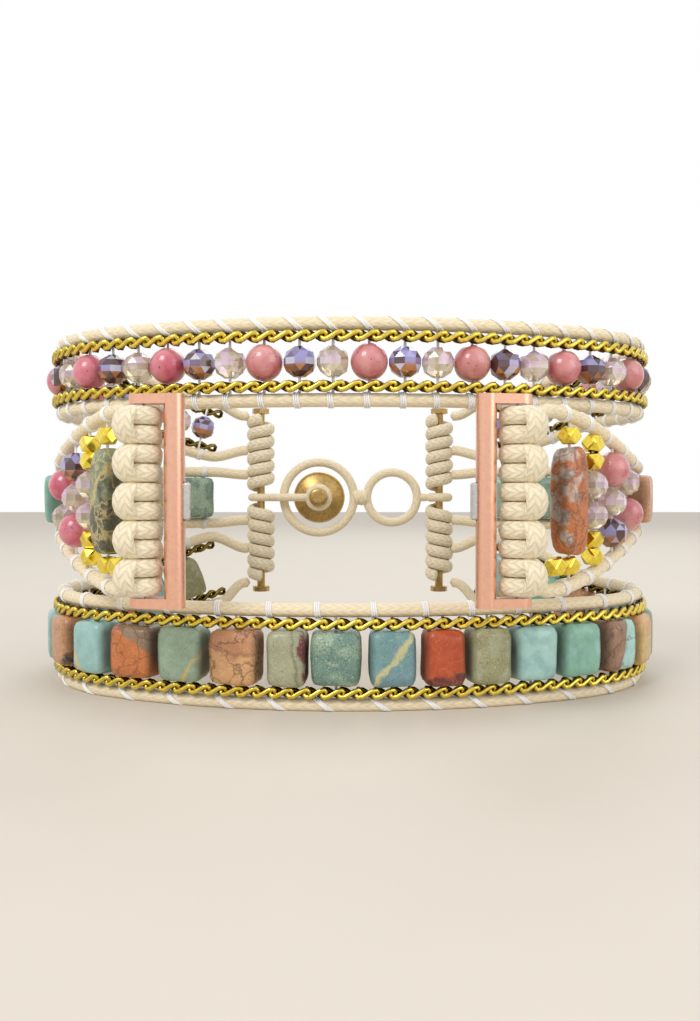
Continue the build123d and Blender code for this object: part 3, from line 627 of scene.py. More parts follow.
def thread_finish(name, colour):
    """Glossy white beading thread."""
    material, tree, shader = start_finish(name, Specular_IOR_Level=0.6, Sheen_Weight=0.2)
    fibre = object_noise(tree, 5000.0, 2.0)
    dim = tuple(value * 0.8 for value in colour)
    rough = maths(tree, "MULTIPLY_ADD", fibre, 0.3, 0.25)
    set_surface(tree, shader, blended(tree, fibre, dim, colour), rough)
    return material


# The chain's dark colour is its tarnish and also the painted shade on the inner side of each link
BRASS, BRASS_TARNISH, SHADE_AND_TARNISH = rgb(196, 164, 104), rgb(84, 60, 30), rgb(70, 50, 10)


def metal_finish(name, colour, tarnish_and_shade, roughness, shade=None, scuffs=0.15):
    """Plated metal: dulled towards the tarnish colour by fine scuffs, and darkened by painted
    shade where a shade attribute says it is unlit.
    """
    material, tree, shader = start_finish(name, Metallic=1.0)
    wear_and_shade = {"Dulling": 0.4}
    # Painted shade: where a shade attribute is given, its unlit side darkens towards the tarnish
    # colour
    if shade is not None:
        wear_and_shade = {"Dulling": 0.3, "Lit": ramp(tree, attribute(tree, shade), 0.48, 0.9)}
    scuff, bright = put_group(tree, once(scuff_and_shade_group), **wear_and_shade)
    rough = maths(tree, "MULTIPLY_ADD", scuff, 0.2, roughness - 0.1)
    set_surface(tree, shader, blended(tree, bright, tarnish_and_shade, colour), rough)
    add_bump(tree, shader, scuff, scuffs, 0.05)
    return material


def stone_finish(name, patch_scale, vein_scale, vein_width):
    """Polished stone: tone and patch colours, cracks, a streak, dark specks, painted pale glints,
    and painted shade on the flanks.

    The patch shows where its noise, leant by the plane's distance, passes what is held back.
    The streak is 1 on the crooked line where that plane cuts the face, and fades beside it.
    """
    material, tree, shader = start_finish(name, Specular_IOR_Level=0.45)
    patch, vein, speck, cloud = put_group(
        tree, once(stone_group), Seed=attribute(tree, "seed"),
        Patch_Scale=patch_scale, Vein_Scale=vein_scale, Vein_Width=vein_width,
    )
    split, specked = attribute(tree, "split"), attribute(tree, "specked")
    leaning = maths(tree, "MULTIPLY", split, attribute(tree, "lean"))
    share = maths(tree, "SUBTRACT", maths(tree, "ADD", patch, leaning), attribute(tree, "hold"))
    colour = blended(
        tree, ramp(tree, share, -0.03, 0.07), attribute(tree, "tone", "Color"),
        attribute(tree, "patch", "Color"),
    )
    lighter = blended(tree, 0.04, colour, (0.95, 0.9, 0.75))
    darker = blended(tree, 0.22, colour, (0.05, 0.04, 0.03))
    colour = blended(tree, cloud, darker, lighter)
    crooked = maths(tree, "MULTIPLY_ADD", maths(tree, "SUBTRACT", patch, 0.5), 0.9, split)
    beside = maths(tree, "DIVIDE", maths(tree, "ABSOLUTE", crooked), 0.14)
    amount = maths(tree, "MULTIPLY", attribute(tree, "streak"), 1.5)
    streak = maths(tree, "MULTIPLY", maths(tree, "SUBTRACT", 1.0, beside), amount)
    cracks = maths(tree, "MULTIPLY", vein, attribute(tree, "veined"))
    veined = maths(tree, "MINIMUM", maths(tree, "MAXIMUM", streak, cracks), 1.0)
    colour = blended(tree, veined, colour, attribute(tree, "vein", "Color"))
    dots = maths(tree, "MULTIPLY", ramp(tree, speck, 0.6, 0.68), specked)
    colour = blended(tree, dots, colour, (0.05, 0.03, 0.02))
    half_specked = maths(tree, "MULTIPLY", specked, 0.5)
    # Painted glints: pale highlight specks, more where the stone is specked
    painted_glints = maths(tree, "MULTIPLY", ramp(tree, speck, 0.42, 0.3), half_specked)
    colour = blended(tree, painted_glints, colour, (0.9, 0.9, 0.8))
    # Painted shade: the flanks that face the neighbours darken towards a near black, and are
    # rougher
    flank_shade = maths(tree, "MULTIPLY", attribute(tree, "flank_shade"), 0.5)
    rough = maths(tree, "ADD", maths(tree, "MULTIPLY_ADD", patch, 0.3, 0.12), flank_shade)
    set_surface(tree, shader, blended(tree, flank_shade, colour, (0.06, 0.045, 0.03)), rough)
    pits = maths(tree, "MULTIPLY", maths(tree, "ADD", dots, cracks), -0.5)
    add_bump(tree, shader, maths(tree, "MULTIPLY_ADD", cloud, 0.25, pits), 0.35, 0.12)
    return material


def rose_finish(name, pale, deep):
    """Rose stone: salmon to raspberry by each bead's depth, in cloudy bands with a few specks."""
    material, tree, shader = start_finish(name, Coat_Weight=0.6, Coat_Roughness=0.08)
    seed = attribute(tree, "seed")
    cloud = ramp(tree, object_noise(tree, 330.0, 5.0, seed), 0.3, 0.7)
    base = blended(tree, attribute(tree, "deep"), pale, deep)
    light = blended(tree, 0.3, base, (1.0, 0.75, 0.68))
    dark = blended(tree, 0.22, base, (0.25, 0.03, 0.05))
    colour = blended(tree, cloud, dark, light)
    dots = ramp(tree, object_noise(tree, 2100.0, 2.0, seed), 0.68, 0.74)
    colour = blended(tree, dots, colour, (0.12, 0.03, 0.03))
    set_surface(tree, shader, colour, maths(tree, "MULTIPLY_ADD", cloud, 0.1, 0.22))
    add_bump(tree, shader, cloud, 0.1, 0.05)
    return material


def crystal_finish(name, dark, lower, upper, clearness):
    """Coated glass: facets are painted dark or bright as reflections, a few take a painted pale
    highlight, and the bright colour turns up the bead.
    """
    material, tree, shader = start_finish(
        name, IOR=1.55, Transmission_Weight=clearness, Coat_Weight=0.6, Coat_Roughness=0.02
    )
    foot, crown, height, spark, roughness = put_group(
        tree, once(facet_group), Facet=attribute(tree, "facet"), Rise=attribute(tree, "rise")
    )
    # Painted reflections: each facet is painted dark or bright by its own random value
    colour = blended(
        tree, height, blended(tree, foot, dark, lower), blended(tree, crown, dark, upper)
    )
    # Painted highlight: a few facets take a pale spark of the upper colour
    pale = tuple(0.5 + value * 0.5 for value in upper)
    set_surface(tree, shader, blended(tree, spark, colour, pale), roughness)
    return material


def length_setting(name, description, default):
    """A length that a user may change, in metres."""
    return bpy.props.FloatProperty(
        name=name, description=description, default=default, unit="LENGTH"
    )


def colour_setting(name, description, *seen):
    """A colour that a user may change, given as it is seen on a screen."""
    return bpy.props.FloatVectorProperty(
        name=name, description=description, default=rgb(*seen), subtype="COLOR"
    )


class BandCordSettings(bpy.types.PropertyGroup):
    """Sizes and colours of the cords and of the thread round them."""

    diameter: length_setting("Cord diameter", "Diameter of the rows' cords", 0.00198)
    thread: length_setting("Thread diameter", "Diameter of the beading thread", 0.0003)
    colour: colour_setting("Waxed cord", "Colour of the rows' cords", 246, 230, 196)
    lashing: colour_setting("Lashing cord", "Colour of the braided lashings", 246, 233, 202)
    white: colour_setting("Thread", "Colour of the beading thread", 255, 254, 252)


class BandBeadSettings(bpy.types.PropertyGroup):
    """Sizes and colours of the round beads, the crystals and the stones."""

    rose: length_setting("Rose bead", "Diameter of the rose beads", 0.0053)
    crystal: length_setting("Crystal", "Diameter of the top row's crystals", 0.0046)
    small_crystal: length_setting(
        "Strap crystal", "Diameter of the straps' pale crystals", 0.0043
    )
    salmon: colour_setting("Salmon", "Paler colour of the rose beads", 198, 114, 110)
    raspberry: colour_setting("Raspberry", "Deeper colour of the rose beads", 208, 78, 112)
    stone_round: bpy.props.FloatProperty(
        name="Stone roundness", description="2 is an ellipsoid, more is squarer", default=7.0,
        min=2.0, max=12.0,
    )


class BandMetalSettings(bpy.types.PropertyGroup):
    """Sizes and colours of the chains and the metal pieces."""

    wire: length_setting("Link wire", "Diameter of the chains' wire", 0.00078)
    gold: colour_setting("Gold", "Colour of the gold plate", 238, 212, 92)
    adapter: colour_setting("Lug adapter", "Colour of the lug adapters", 238, 184, 158)


class BandStageSettings(bpy.types.PropertyGroup):
    """The floor, the light and the camera's distance."""

    floor: colour_setting("Floor", "Colour of the floor", 216, 208, 196)
    key_power: bpy.props.FloatProperty(
        name="Key light", description="Power of the main soft light", default=1.3,
        unit="POWER",
    )
    world: bpy.props.FloatProperty(
        name="World light", description="Strength of the light from all round", default=0.78,
    )
    camera_distance: length_setting(
        "Camera distance", "From the middle of the band to the camera", 0.159
    )


def waxed_cord():
    """Waxed cord: tight fine stitches under a smooth coat."""
    colour = tuple(bpy.context.scene.band_cords.colour)
    return cord_finish("waxed_cord", colour, 0.72, 1.5, 6.0, 0.2, 0.55)


def row_cord_points(row, level, distance):
    """Points of an outer row's cord and its outward directions."""
    middle, _, outward, up = row_frame(row, distance)
    return middle + up * (level * row_spread(row, distance))[:, None], outward


class BAND_OT_row_cords(bpy.types.Operator):
    """Cords of the three rows, one above and one below the beads"""

    bl_idname = "bead_band.row_cords"
    bl_label = "Row cords"

    def execute(self, context):
        radius, side_count = context.scene.band_cords.diameter / MM / 2, 16
        routes = {}
        for row in ("top", "bottom"):
            distance = np.linspace(-CORD_END, CORD_END, 420)
            for word, level in LEVELS.items():
                routes[f"{row}_row_{word}_cord"] = row_cord_points(row, level, distance)
        for hand in HANDS:
            distance = np.linspace(STRAP_STARTS[hand], CORD_END, 170)
            for word, level in LEVELS.items():
                points, outward = strap_cord_points(hand, distance, level)
                into = np.arange(LASHING_REACH, 0, -0.4)[:, None]
                lead_in = points[0] + unit(points[0] - points[1]) * into
                lead_in[:, 2] -= level * LASHING_SLOPE * into[:, 0]
                routes[f"{hand}_strap_{word}_cord"] = (
                    np.concatenate([lead_in, points]),
                    np.concatenate([np.repeat(outward[:1], len(into), 0), outward]),
                )
        for node, (points, outward) in routes.items():
            batch = Batch()
            grid = sweep(points, outward, rounded_ends(points, radius), side_count)
            grid[..., 2] = np.maximum(grid[..., 2], 0.0)
            batch.add(grid, sweep_uv(points, side_count))
            batch.build(f"{node}_braid", "root", once(waxed_cord), [node])
        return {"FINISHED"}


def add_wraps(batch, centres, axes, slant, spacing, radius, thread):
    """Add three rings of thread round a cord at each centre, none of them below the floor.

    Axes are along, outward and up. Ring = centre + reach (cosine outward + sine up), moved
    along by the spacing and by slant times the sine.
    """
    turn = np.linspace(0, 2 * pi, 12, endpoint=False)
    reach = radius + thread * 0.35
    for centre, along, outward, up in zip(centres, *axes):
        spokes = around(turn, outward, up)
        for shift in (-spacing, 0.0, spacing):
            lean = along * (shift - slant * np.sin(turn))[:, None]
            ring = closed_sweep(centre + spokes * reach + lean, spokes, thread / 2, 4)
            ring[..., 2] = np.maximum(ring[..., 2], 0.0)
            batch.add(ring, closed_rows=True)


def add_strands(batch, starts, ends, normals, thread):
    """Add a straight strand of thread, a little thicker for two plies, from start to end."""
    share = np.linspace(0, 1, 5)[:, None]
    for start, end, normal in zip(starts, ends, normals):
        strand = start + (end - start) * share
        batch.add(sweep(strand, np.tile(normal, (5, 1)), thread * 0.7, 6))


# Wraps along a strap's cords: the first from the strap's start, and their spacing
STRAP_WRAP_LEAD, STRAP_WRAP_SPACING = 3.5, 5.6


class BAND_OT_thread(bpy.types.Operator):
    """White beading thread: through every bead from cord to cord, and round each cord beside it"""

    bl_idname = "bead_band.thread"
    bl_label = "Beading thread"

    def execute(self, context):
        band = context.scene.band_cords
        radius, thread = band.diameter / MM / 2, band.thread / MM
        white = thread_finish("beading_thread", tuple(band.white))
        beads = np.sort(np.concatenate(list(top_distances(context).values())))
        stones = np.array([distance for _, _, distance, _ in bottom_stones()])
        # The bottom row's wraps are near each stone's left edge, and one is past the last stone
        gaps = np.sort(np.concatenate([stones - 2.6, [BEAD_END - 1]]))
        # Cord, distances of the wraps, how far a wrap leans, and the spacing of its turns
        for row, word, distances, slant, spacing in (
            ("top", "upper", beads - 0.8, 1.2, 0.32),
            ("top", "lower", beads - 0.4, 0.12, 0.3),
            ("bottom", "upper", gaps, 0.1, 0.3),
            ("bottom", "lower", gaps + 1.0, 1.3, 0.34),
        ):
            batch = Batch()
            middle, *axes = row_frame(row, distances)
            centres = middle + axes[2] * (LEVELS[word] * row_spread(row, distances))[:, None]
            add_wraps(batch, centres, axes, slant, spacing, radius, thread)
            batch.build(f"{row}_row_{word}_thread", "root", white, [])
        for row, distances in (("top", beads), ("bottom", stones)):
            batch = Batch()
            low, outward = row_cord_points(row, -1, distances)
            high, _ = row_cord_points(row, 1, distances)
            add_strands(batch, low, high, outward, thread)
            batch.build(f"{row}_row_bead_thread", "root", white, [])
        for hand in HANDS:
            batch = Batch()
            distances = np.concatenate([strap_columns(hand), strap_stone_distances(hand)])
            low, outward = strap_cord_points(hand, distances, -1)
            high, _ = strap_cord_points(hand, distances, 1)
            add_strands(batch, low, high, outward, thread)
            first = STRAP_STARTS[hand] + STRAP_WRAP_LEAD
            distances = np.arange(first, BEAD_END, STRAP_WRAP_SPACING)
            for level in LEVELS.values():
                points, outward = strap_cord_points(hand, distances, level)
                ahead, _ = strap_cord_points(hand, distances + 0.5, level)
                along = unit(ahead - points)
                axes = along, outward, np.cross(outward, along)
                add_wraps(batch, points, axes, 0.15, 0.3, radius, thread)
            batch.build(f"{hand}_strap_thread", "root", white, [])
        return {"FINISHED"}


def signed_power(wave, power):
    """The size of a wave raised to a power, with the wave's sign."""
    return np.sign(wave) * np.abs(wave) ** power


class BAND_OT_chains(bpy.types.Operator):
    """Gold curb chains: each link a ring of wire, twisted so that its two long sides cross

    The rise along a side is 1.5 x less half x cubed, up on the outside and down inside.
    """

    bl_idname = "bead_band.chains"
    bl_label = "Curb chains"

    def execute(self, context):
        settings = context.scene.band_metal
        plate = metal_finish("chain_gold", tuple(settings.gold), SHADE_AND_TARNISH, 0.2, "outer")
        turn = np.linspace(0, 2 * pi, LINK_STEPS, endpoint=False)[:, None] + pi / LINK_STEPS
        long_share = signed_power(np.cos(turn), LINK_ROUND)
        short_share = signed_power(np.sin(turn), LINK_ROUND)
        swing = long_share * (1.5 - 0.5 * long_share**2) * short_share
        path = np.concatenate(
            [LINK_REACH * long_share, -LINK_DEPTH * short_share, LINK_RISE * swing], 1
        )
        normals = np.tile([0.0, 1.0, 0.0], (LINK_STEPS, 1))
        link = closed_sweep(path, normals, settings.wire / MM / 2, LINK_SIDES)
        faces = [grid_faces(LINK_STEPS, LINK_SIDES, closed_rows=True)]
        # Painted shade: how lit the wire is, fully on its outer side, and 0.62 of that on its
        # inner side
        outer = -link[..., 1].ravel()
        shade = (outer - outer.min()) / (outer.max() - outer.min())
        shade = np.maximum(shade, 0.62 * (1 - shade))
        distances = np.linspace(-BEAD_END, BEAD_END, round(2 * BEAD_END / CHAIN_PITCH) + 1)
        for row in ("top", "bottom"):
            middle, axes = row_axes(row, distances)
            offset = SPREADS[row][0] - CORD_RADIUS - CHAIN_SEAM - CHAIN_HEIGHT / 2
            for word, level in LEVELS.items():
                node = f"{row}_row_{word}_chain"
                origins = middle - axes[:, 1] * CHAIN_OUT + axes[:, 2] * (level * offset)
                points, all_faces = placed(link.reshape(-1, 3), faces, origins, axes)
                mesh_piece(
                    f"{node}_links", points, all_faces, "root", plate, [node],
                    {"outer": np.tile(shade, len(origins))},
                )
        return {"FINISHED"}


def top_distances(context):
    """Distances of the top row's beads, rose, violet and champagne in turn."""
    beads = context.scene.band_beads
    rose, crystal = beads.rose / MM, beads.crystal / MM
    step, small_step = (rose + crystal) / 2 + BEAD_GAP, crystal + BEAD_GAP
    # Eight rounds of three beads on each side, of which those past the row's end fall away
    starts = MIDDLE_ROSE + np.arange(-8, 9) * (2 * step + small_step)
    found = {
        "rose": starts,
        "violet": starts + step,
        "champagne": starts + step + small_step,
    }
    return {key: value[np.abs(value) < BEAD_END] for key, value in found.items()}


def pearl(diameter):
    """Round bead: rings at even latitudes, with a bore that goes in at both ends."""
    radius, bore = diameter / 2, 0.09 * diameter
    mouth, inside = radius * 0.965, radius * 0.7
    edge = np.arcsin(bore * 1.15 / radius)
    latitude = np.linspace(-pi / 2 + edge, pi / 2 - edge, 15)
    profile = [(bore * 0.9, -inside), (bore, -mouth)]
    profile += list(zip(radius * np.cos(latitude), radius * np.sin(latitude)))
    profile += [(bore, mouth), (bore * 0.9, inside)]
    return capped(lathe(profile, 22))


def cut_crystal(diameter, side_count=9):
    """Faceted bead: belt and two crowns whose rings turn by half a facet, as triangles."""
    radius = diameter / 2
    heights = (-0.93, -0.6, -0.2, 0.2, 0.6, 0.93)
    widths = (0.36, 0.84, 1.0, 1.0, 0.84, 0.36)
    grid = lathe([(radius * w, radius * h) for w, h in zip(widths, heights)], side_count)
    half = pi / side_count
    for ring in (0, 2, 3, 5):
        x, y = grid[ring, :, 0].copy(), grid[ring, :, 1].copy()
        grid[ring, :, 0] = x * cos(half) - y * sin(half)
        grid[ring, :, 1] = x * sin(half) + y * cos(half)
    points, faces = capped(grid)
    # Each band's quads are cut along the diagonal that its turned ring calls for, the belt not
    one_way, other_way = ((0, 1, 2), (0, 2, 3)), ((0, 1, 3), (1, 2, 3))
    pieces = []
    for quad, cuts in zip(
        faces[0].reshape(5, side_count, 4), (one_way, other_way, None, one_way, other_way)
    ):
        pieces += [quad[:, list(cut)] for cut in cuts] if cuts else [quad]
    return points, pieces + faces[1:]


def tops_of(points):
    """Height of each corner of a form as a share, from 0 at its foot to 1 at its top."""
    height = points[:, 2]
    return (height - height.min()) / (height.max() - height.min())


def bead_piece(name, node, slot, material, form, origins, axes, seed, flat=False, **each):
    """Copies of a bead in one object, with a seed and other values for each bead."""
    points, faces = form
    corners, all_faces = placed(points, faces, origins, axes)
    count, size = len(origins), len(points)
    random = np.random.default_rng(seed)
    values = {"seed": np.repeat(random.uniform(0, 4, count), size)}
    values["rise"] = np.tile(tops_of(points), count)
    for key, value in each.items():
        values[key] = np.repeat(np.asarray(value, float), size, axis=0)
    if flat:
        facets = [random.uniform(0, 1, len(face)) for face in all_faces[:-2]]
        ends = [np.repeat(random.uniform(0, 1, count), len(face)) for face in faces[-2:]]
        values["facet"] = np.concatenate(facets + ends)
    return mesh_piece(
        name, corners, all_faces, "root", material, [node], values, flat=flat
    )


# Kinds of the straps' beads, by column from the lug bar outwards and from the top down
NUGGET, ROSE, CHAMPAGNE, VIOLET, BAR = "nugget", "rose", "champagne", "violet", "bar"
FIRST_COLUMNS = (
    (NUGGET, BAR, NUGGET),
    (NUGGET, NUGGET, CHAMPAGNE, CHAMPAGNE, NUGGET, NUGGET),
)
STRAP_COLUMNS = {
    "left": (*FIRST_COLUMNS, (VIOLET, CHAMPAGNE, ROSE), (ROSE, CHAMPAGNE)),
    "right": (*FIRST_COLUMNS, (ROSE, CHAMPAGNE, VIOLET), (CHAMPAGNE, ROSE)),
}
# Height of a bar stone, size of a nugget, and from the bar stone to the nugget beside its foot
BAR_HEIGHT, NUGGET_SIZE, NUGGET_STEP = 15.6, 2.4, 3.1


def strap_places(context, hand):
    """Origins and axes of a strap's beads by kind, each column stacked about the middle."""
    beads = context.scene.band_beads
    sizes = {
        NUGGET: NUGGET_SIZE,
        ROSE: beads.rose / MM,
        CHAMPAGNE: beads.small_crystal / MM,
        VIOLET: beads.crystal / MM,
        BAR: BAR_HEIGHT,
    }
    found, columns = {}, strap_columns(hand)
    for distance, kinds in zip(columns, STRAP_COLUMNS[hand]):
        stack = sum(sizes[kind] for kind in kinds) + BEAD_GAP * (len(kinds) - 1)
        height = MIDDLE + stack / 2
        for kind in kinds:
            found.setdefault(kind, []).append((distance, height - sizes[kind] / 2))
            height -= sizes[kind] + BEAD_GAP
    foot = MIDDLE - (BAR_HEIGHT + NUGGET_SIZE) / 2 - BEAD_GAP
    found[NUGGET].append((columns[0] - NUGGET_STEP, foot))
    return {kind: strap_axes(hand, *np.transpose(spots)) for kind, spots in found.items()}


# Left of this distance the top row's rose beads are raspberry, the others nearer to salmon
RASPBERRY_END = -25


class BAND_OT_rose_beads(bpy.types.Operator):
    """Round rose stone beads of the top row and of both straps"""

    bl_idname = "bead_band.rose_beads"
    bl_label = "Rose beads"

    def execute(self, context):
        beads = context.scene.band_beads
        material = rose_finish("rose_stone", tuple(beads.salmon), tuple(beads.raspberry))
        form = pearl(beads.rose / MM)
        distances = top_distances(context)["rose"]
        deep = np.where(distances < RASPBERRY_END, 0.95, 0.2) + 0.15 * np.sin(distances)
        places = {"top_row": (row_axes("top", distances), 3, np.clip(deep, 0, 1))}
        for hand, depth in (("left", 0.9), ("right", 0.3)):
            place = strap_places(context, hand)[ROSE]
            places[f"{hand}_strap"] = (place, 7, np.full(len(place[0]), depth))
        for where, (place, seed, deep) in places.items():
            bead_piece(
                f"{where}_rose_stones", f"{where}_rose_beads", "rose_bead", material, form,
                *place, seed=seed, deep=deep,
            )
        return {"FINISHED"}


class BAND_OT_crystals(bpy.types.Operator):
    """Faceted coated crystals, violet over amber and pale champagne"""

    bl_idname = "bead_band.crystals"
    bl_label = "Crystals"

    def execute(self, context):
        beads = context.scene.band_beads
        finishes = {
            VIOLET: crystal_finish(
                "violet_crystal", rgb(92, 62, 60), rgb(196, 122, 52), rgb(166, 162, 220), 0.25
            ),
            CHAMPAGNE: crystal_finish(
                "champagne_crystal", rgb(216, 202, 172), rgb(252, 244, 208),
                rgb(242, 214, 240), 0.6,
            ),
        }
        distances = top_distances(context)
        for number, kind in enumerate((VIOLET, CHAMPAGNE)):
            bead_piece(
                f"top_row_{kind}_facets", f"top_row_{kind}_crystals", f"{kind}_crystal",
                finishes[kind], cut_crystal(beads.crystal / MM),
                *row_axes("top", distances[kind]), seed=11 + number, flat=True,
            )
        for hand in HANDS:
            places = strap_places(context, hand)
            for kind, size, node in (
                (VIOLET, beads.crystal, f"{hand}_strap_violet_crystal"),
                (CHAMPAGNE, beads.small_crystal, f"{hand}_strap_champagne_crystals"),
            ):
                bead_piece(
                    f"{hand}_strap_{kind}_facets", node, f"{kind}_crystal", finishes[kind],
                    cut_crystal(size / MM), *places[kind], seed=17, flat=True,
                )
        return {"FINISHED"}


TONES = {
    "aqua": rgb(152, 198, 194),
    "pale_aqua": rgb(172, 216, 210),
    "blue": rgb(112, 150, 160),
    "teal": rgb(104, 150, 152),
    "jade": rgb(132, 186, 166),
    "sea_green": rgb(148, 174, 148),
    "deep_green": rgb(104, 140, 126),
    "grey_green": rgb(130, 140, 106),
    "moss": rgb(74, 80, 58),
    "olive": rgb(152, 150, 108),
    "pale_olive": rgb(164, 166, 132),
    "sand": rgb(220, 166, 112),
    "tan": rgb(198, 138, 94),
    "orange": rgb(202, 114, 50),
    "brown": rgb(158, 118, 92),
    "umber": rgb(78, 50, 36),
    "grey": rgb(146, 118, 92),
    "quartz": rgb(206, 190, 182),
    "mustard": rgb(214, 180, 108),
    "red": rgb(184, 66, 4),
    "burgundy": rgb(104, 30, 32),
    "cream": rgb(192, 188, 138),
    "gold_cream": rgb(206, 182, 122),
}
# Looks of the stones: tone, patch and vein colours, the noise held back from the patch, the
# amounts of cracks and specks, a plane across the face (its x, its z and its offset), and how
# far the patch and the vein follow that plane
STONE_LOOKS = {
    "aqua_veined": ("aqua", "grey", "mustard", 0.62, 0.1, 0.1, (-0.7, -0.6, 0.62), 0.5, 1.0),
    "aqua_plain": ("pale_aqua", "aqua", "cream", 0.5, 0.0, 0.1, (0, 0, 1), 0.0, 0.0),
    "brown_speckled": ("tan", "umber", "cream", 0.6, 0.1, 0.8, (1, 0, 0.7), 0.2, 0.0),
    "orange_grey": ("orange", "grey", "umber", 0.58, 0.5, 0.4, (0.5, 0.9, 0.3), 0.5, 0.0),
    "green_yellow": (
        "sea_green", "pale_olive", "mustard", 0.6, 0.0, 0.3, (0.8, -0.7, 0.75), 0.35, 0.5,
    ),
    "sand_cracked": ("sand", "tan", "umber", 0.5, 0.7, 0.5, (0.2, 1, 0.3), 0.2, 0.25),
    "olive_burgundy": (
        "pale_olive", "burgundy", "umber", 0.66, 0.1, 0.5, (1, 0.15, 0.45), 0.5, 0.3,
    ),
    "sea_green": ("deep_green", "sea_green", "cream", 0.5, 0.0, 0.9, (0, 0, 1), 0.0, 0.0),
    "teal_veined": ("teal", "blue", "cream", 0.5, 0.1, 0.4, (0.75, -0.65, 0.05), 0.2, 1.0),
    "red_clear": ("red", "burgundy", "orange", 0.56, 0.35, 0.2, (0.1, -1, 0.6), 0.9, 0.0),
    "olive_speckled": ("olive", "pale_olive", "umber", 0.5, 0.0, 0.6, (0, 0, 1), 0.0, 0.0),
    "teal_plain": ("jade", "aqua", "pale_aqua", 0.56, 0.0, 0.1, (0, 0, 1), 0.0, 0.0),
    "half": ("brown", "pale_aqua", "umber", 0.5, 0.6, 0.3, (1, -0.3, -0.05), 2.0, 0.2),
    "mustard": ("mustard", "sand", "brown", 0.5, 0.3, 0.2, (0, 1, 0.2), 0.2, 0.2),
    "green_bar": ("grey_green", "moss", "gold_cream", 0.52, 0.75, 0.5, (0.4, -1, -0.2), 0.12, 0.6),
    "orange_bar": ("orange", "quartz", "umber", 0.58, 0.6, 0.5, (-0.7, 0.3, 0.1), 0.2, 0.3),
}
# Bottom row from the left end: node colour, width and following gap as shares, and look
BOTTOM_STONES = (
    ("olive", 1.0, 0.12, "olive_speckled"),
    ("aqua", 0.96, 0.12, "aqua_plain"),
    ("brown", 1.03, 0.12, "orange_grey"),
    ("green", 0.97, 0.12, "sea_green"),
    ("brown", 1.0, 0.12, "sand_cracked"),
    ("aqua", 1.0, 0.12, "aqua_veined"),
    ("brown", 1.03, 0.12, "brown_speckled"),
    ("aqua", 1.08, 0.12, "aqua_veined"),
    ("brown", 1.1, 0.16, "orange_grey"),
    ("green", 1.03, 0.15, "green_yellow"),
    ("brown", 1.09, 0.17, "sand_cracked"),
    ("olive", 0.87, 0.05, "olive_burgundy"),
    ("green", 1.1, 0.15, "sea_green"),
    ("aqua", 1.0, 0.17, "teal_veined"),
    ("red", 0.87, 0.11, "red_clear"),
    ("olive", 0.94, 0.09, "olive_speckled"),
    ("aqua", 1.03, 0.11, "aqua_plain"),
    ("green", 1.06, 0.14, "teal_plain"),
    ("brown", 1.06, 0.14, "half"),
    ("brown", 1.0, 0.12, "mustard"),
    ("green", 1.0, 0.12, "green_yellow"),
    ("aqua", 0.97, 0.12, "teal_veined"),
    ("olive", 1.0, 0.12, "olive_speckled"),
    ("brown", 1.03, 0.12, "brown_speckled"),
    ("green", 1.0, 0.12, "teal_plain"),
    ("aqua", 1.0, 0.12, "aqua_veined"),
)
# Looks of a strap's square stones, which the right strap starts one further on
STRAP_LOOKS = (
    "teal_plain", "brown_speckled", "aqua_plain", "olive_speckled", "mustard", "sea_green",
)
# Bar stones: width and depth, how square they are, and the look and the slot of each
BAR_WIDTH, BAR_DEPTH, BAR_ROUND = 4.8, 4.2, 4.5
BAR_LOOKS = {
    "left": ("green_bar", "green_bar_stone"),
    "right": ("orange_bar", "orange_bar_stone"),
}


def bottom_stones():
    """Node colour, width, distance of the middle and look of each stone of the bottom row."""
    start, found = FIRST_STONE, []
    for colour, width, gap, look in BOTTOM_STONES:
        width *= STONE_WIDTH
        found.append((colour, width, start + width / 2, look))
        start += width + gap * STONE_WIDTH
    return found


def tumbled(power, rows=20, columns=28):
    """Rounded block of half size 1: a direction over the power norm of its three parts."""
    latitude = np.linspace(-pi / 2 + 0.1, pi / 2 - 0.1, rows)
    grid = lathe(list(zip(np.cos(latitude), np.sin(latitude))), columns)
    points, faces = capped(grid)
    points[-2:] = [[0, 0, -1], [0, 0, 1]]
    norm = np.sum(np.abs(points) ** power, -1) ** (1 / power)
    return points / norm[:, None], faces


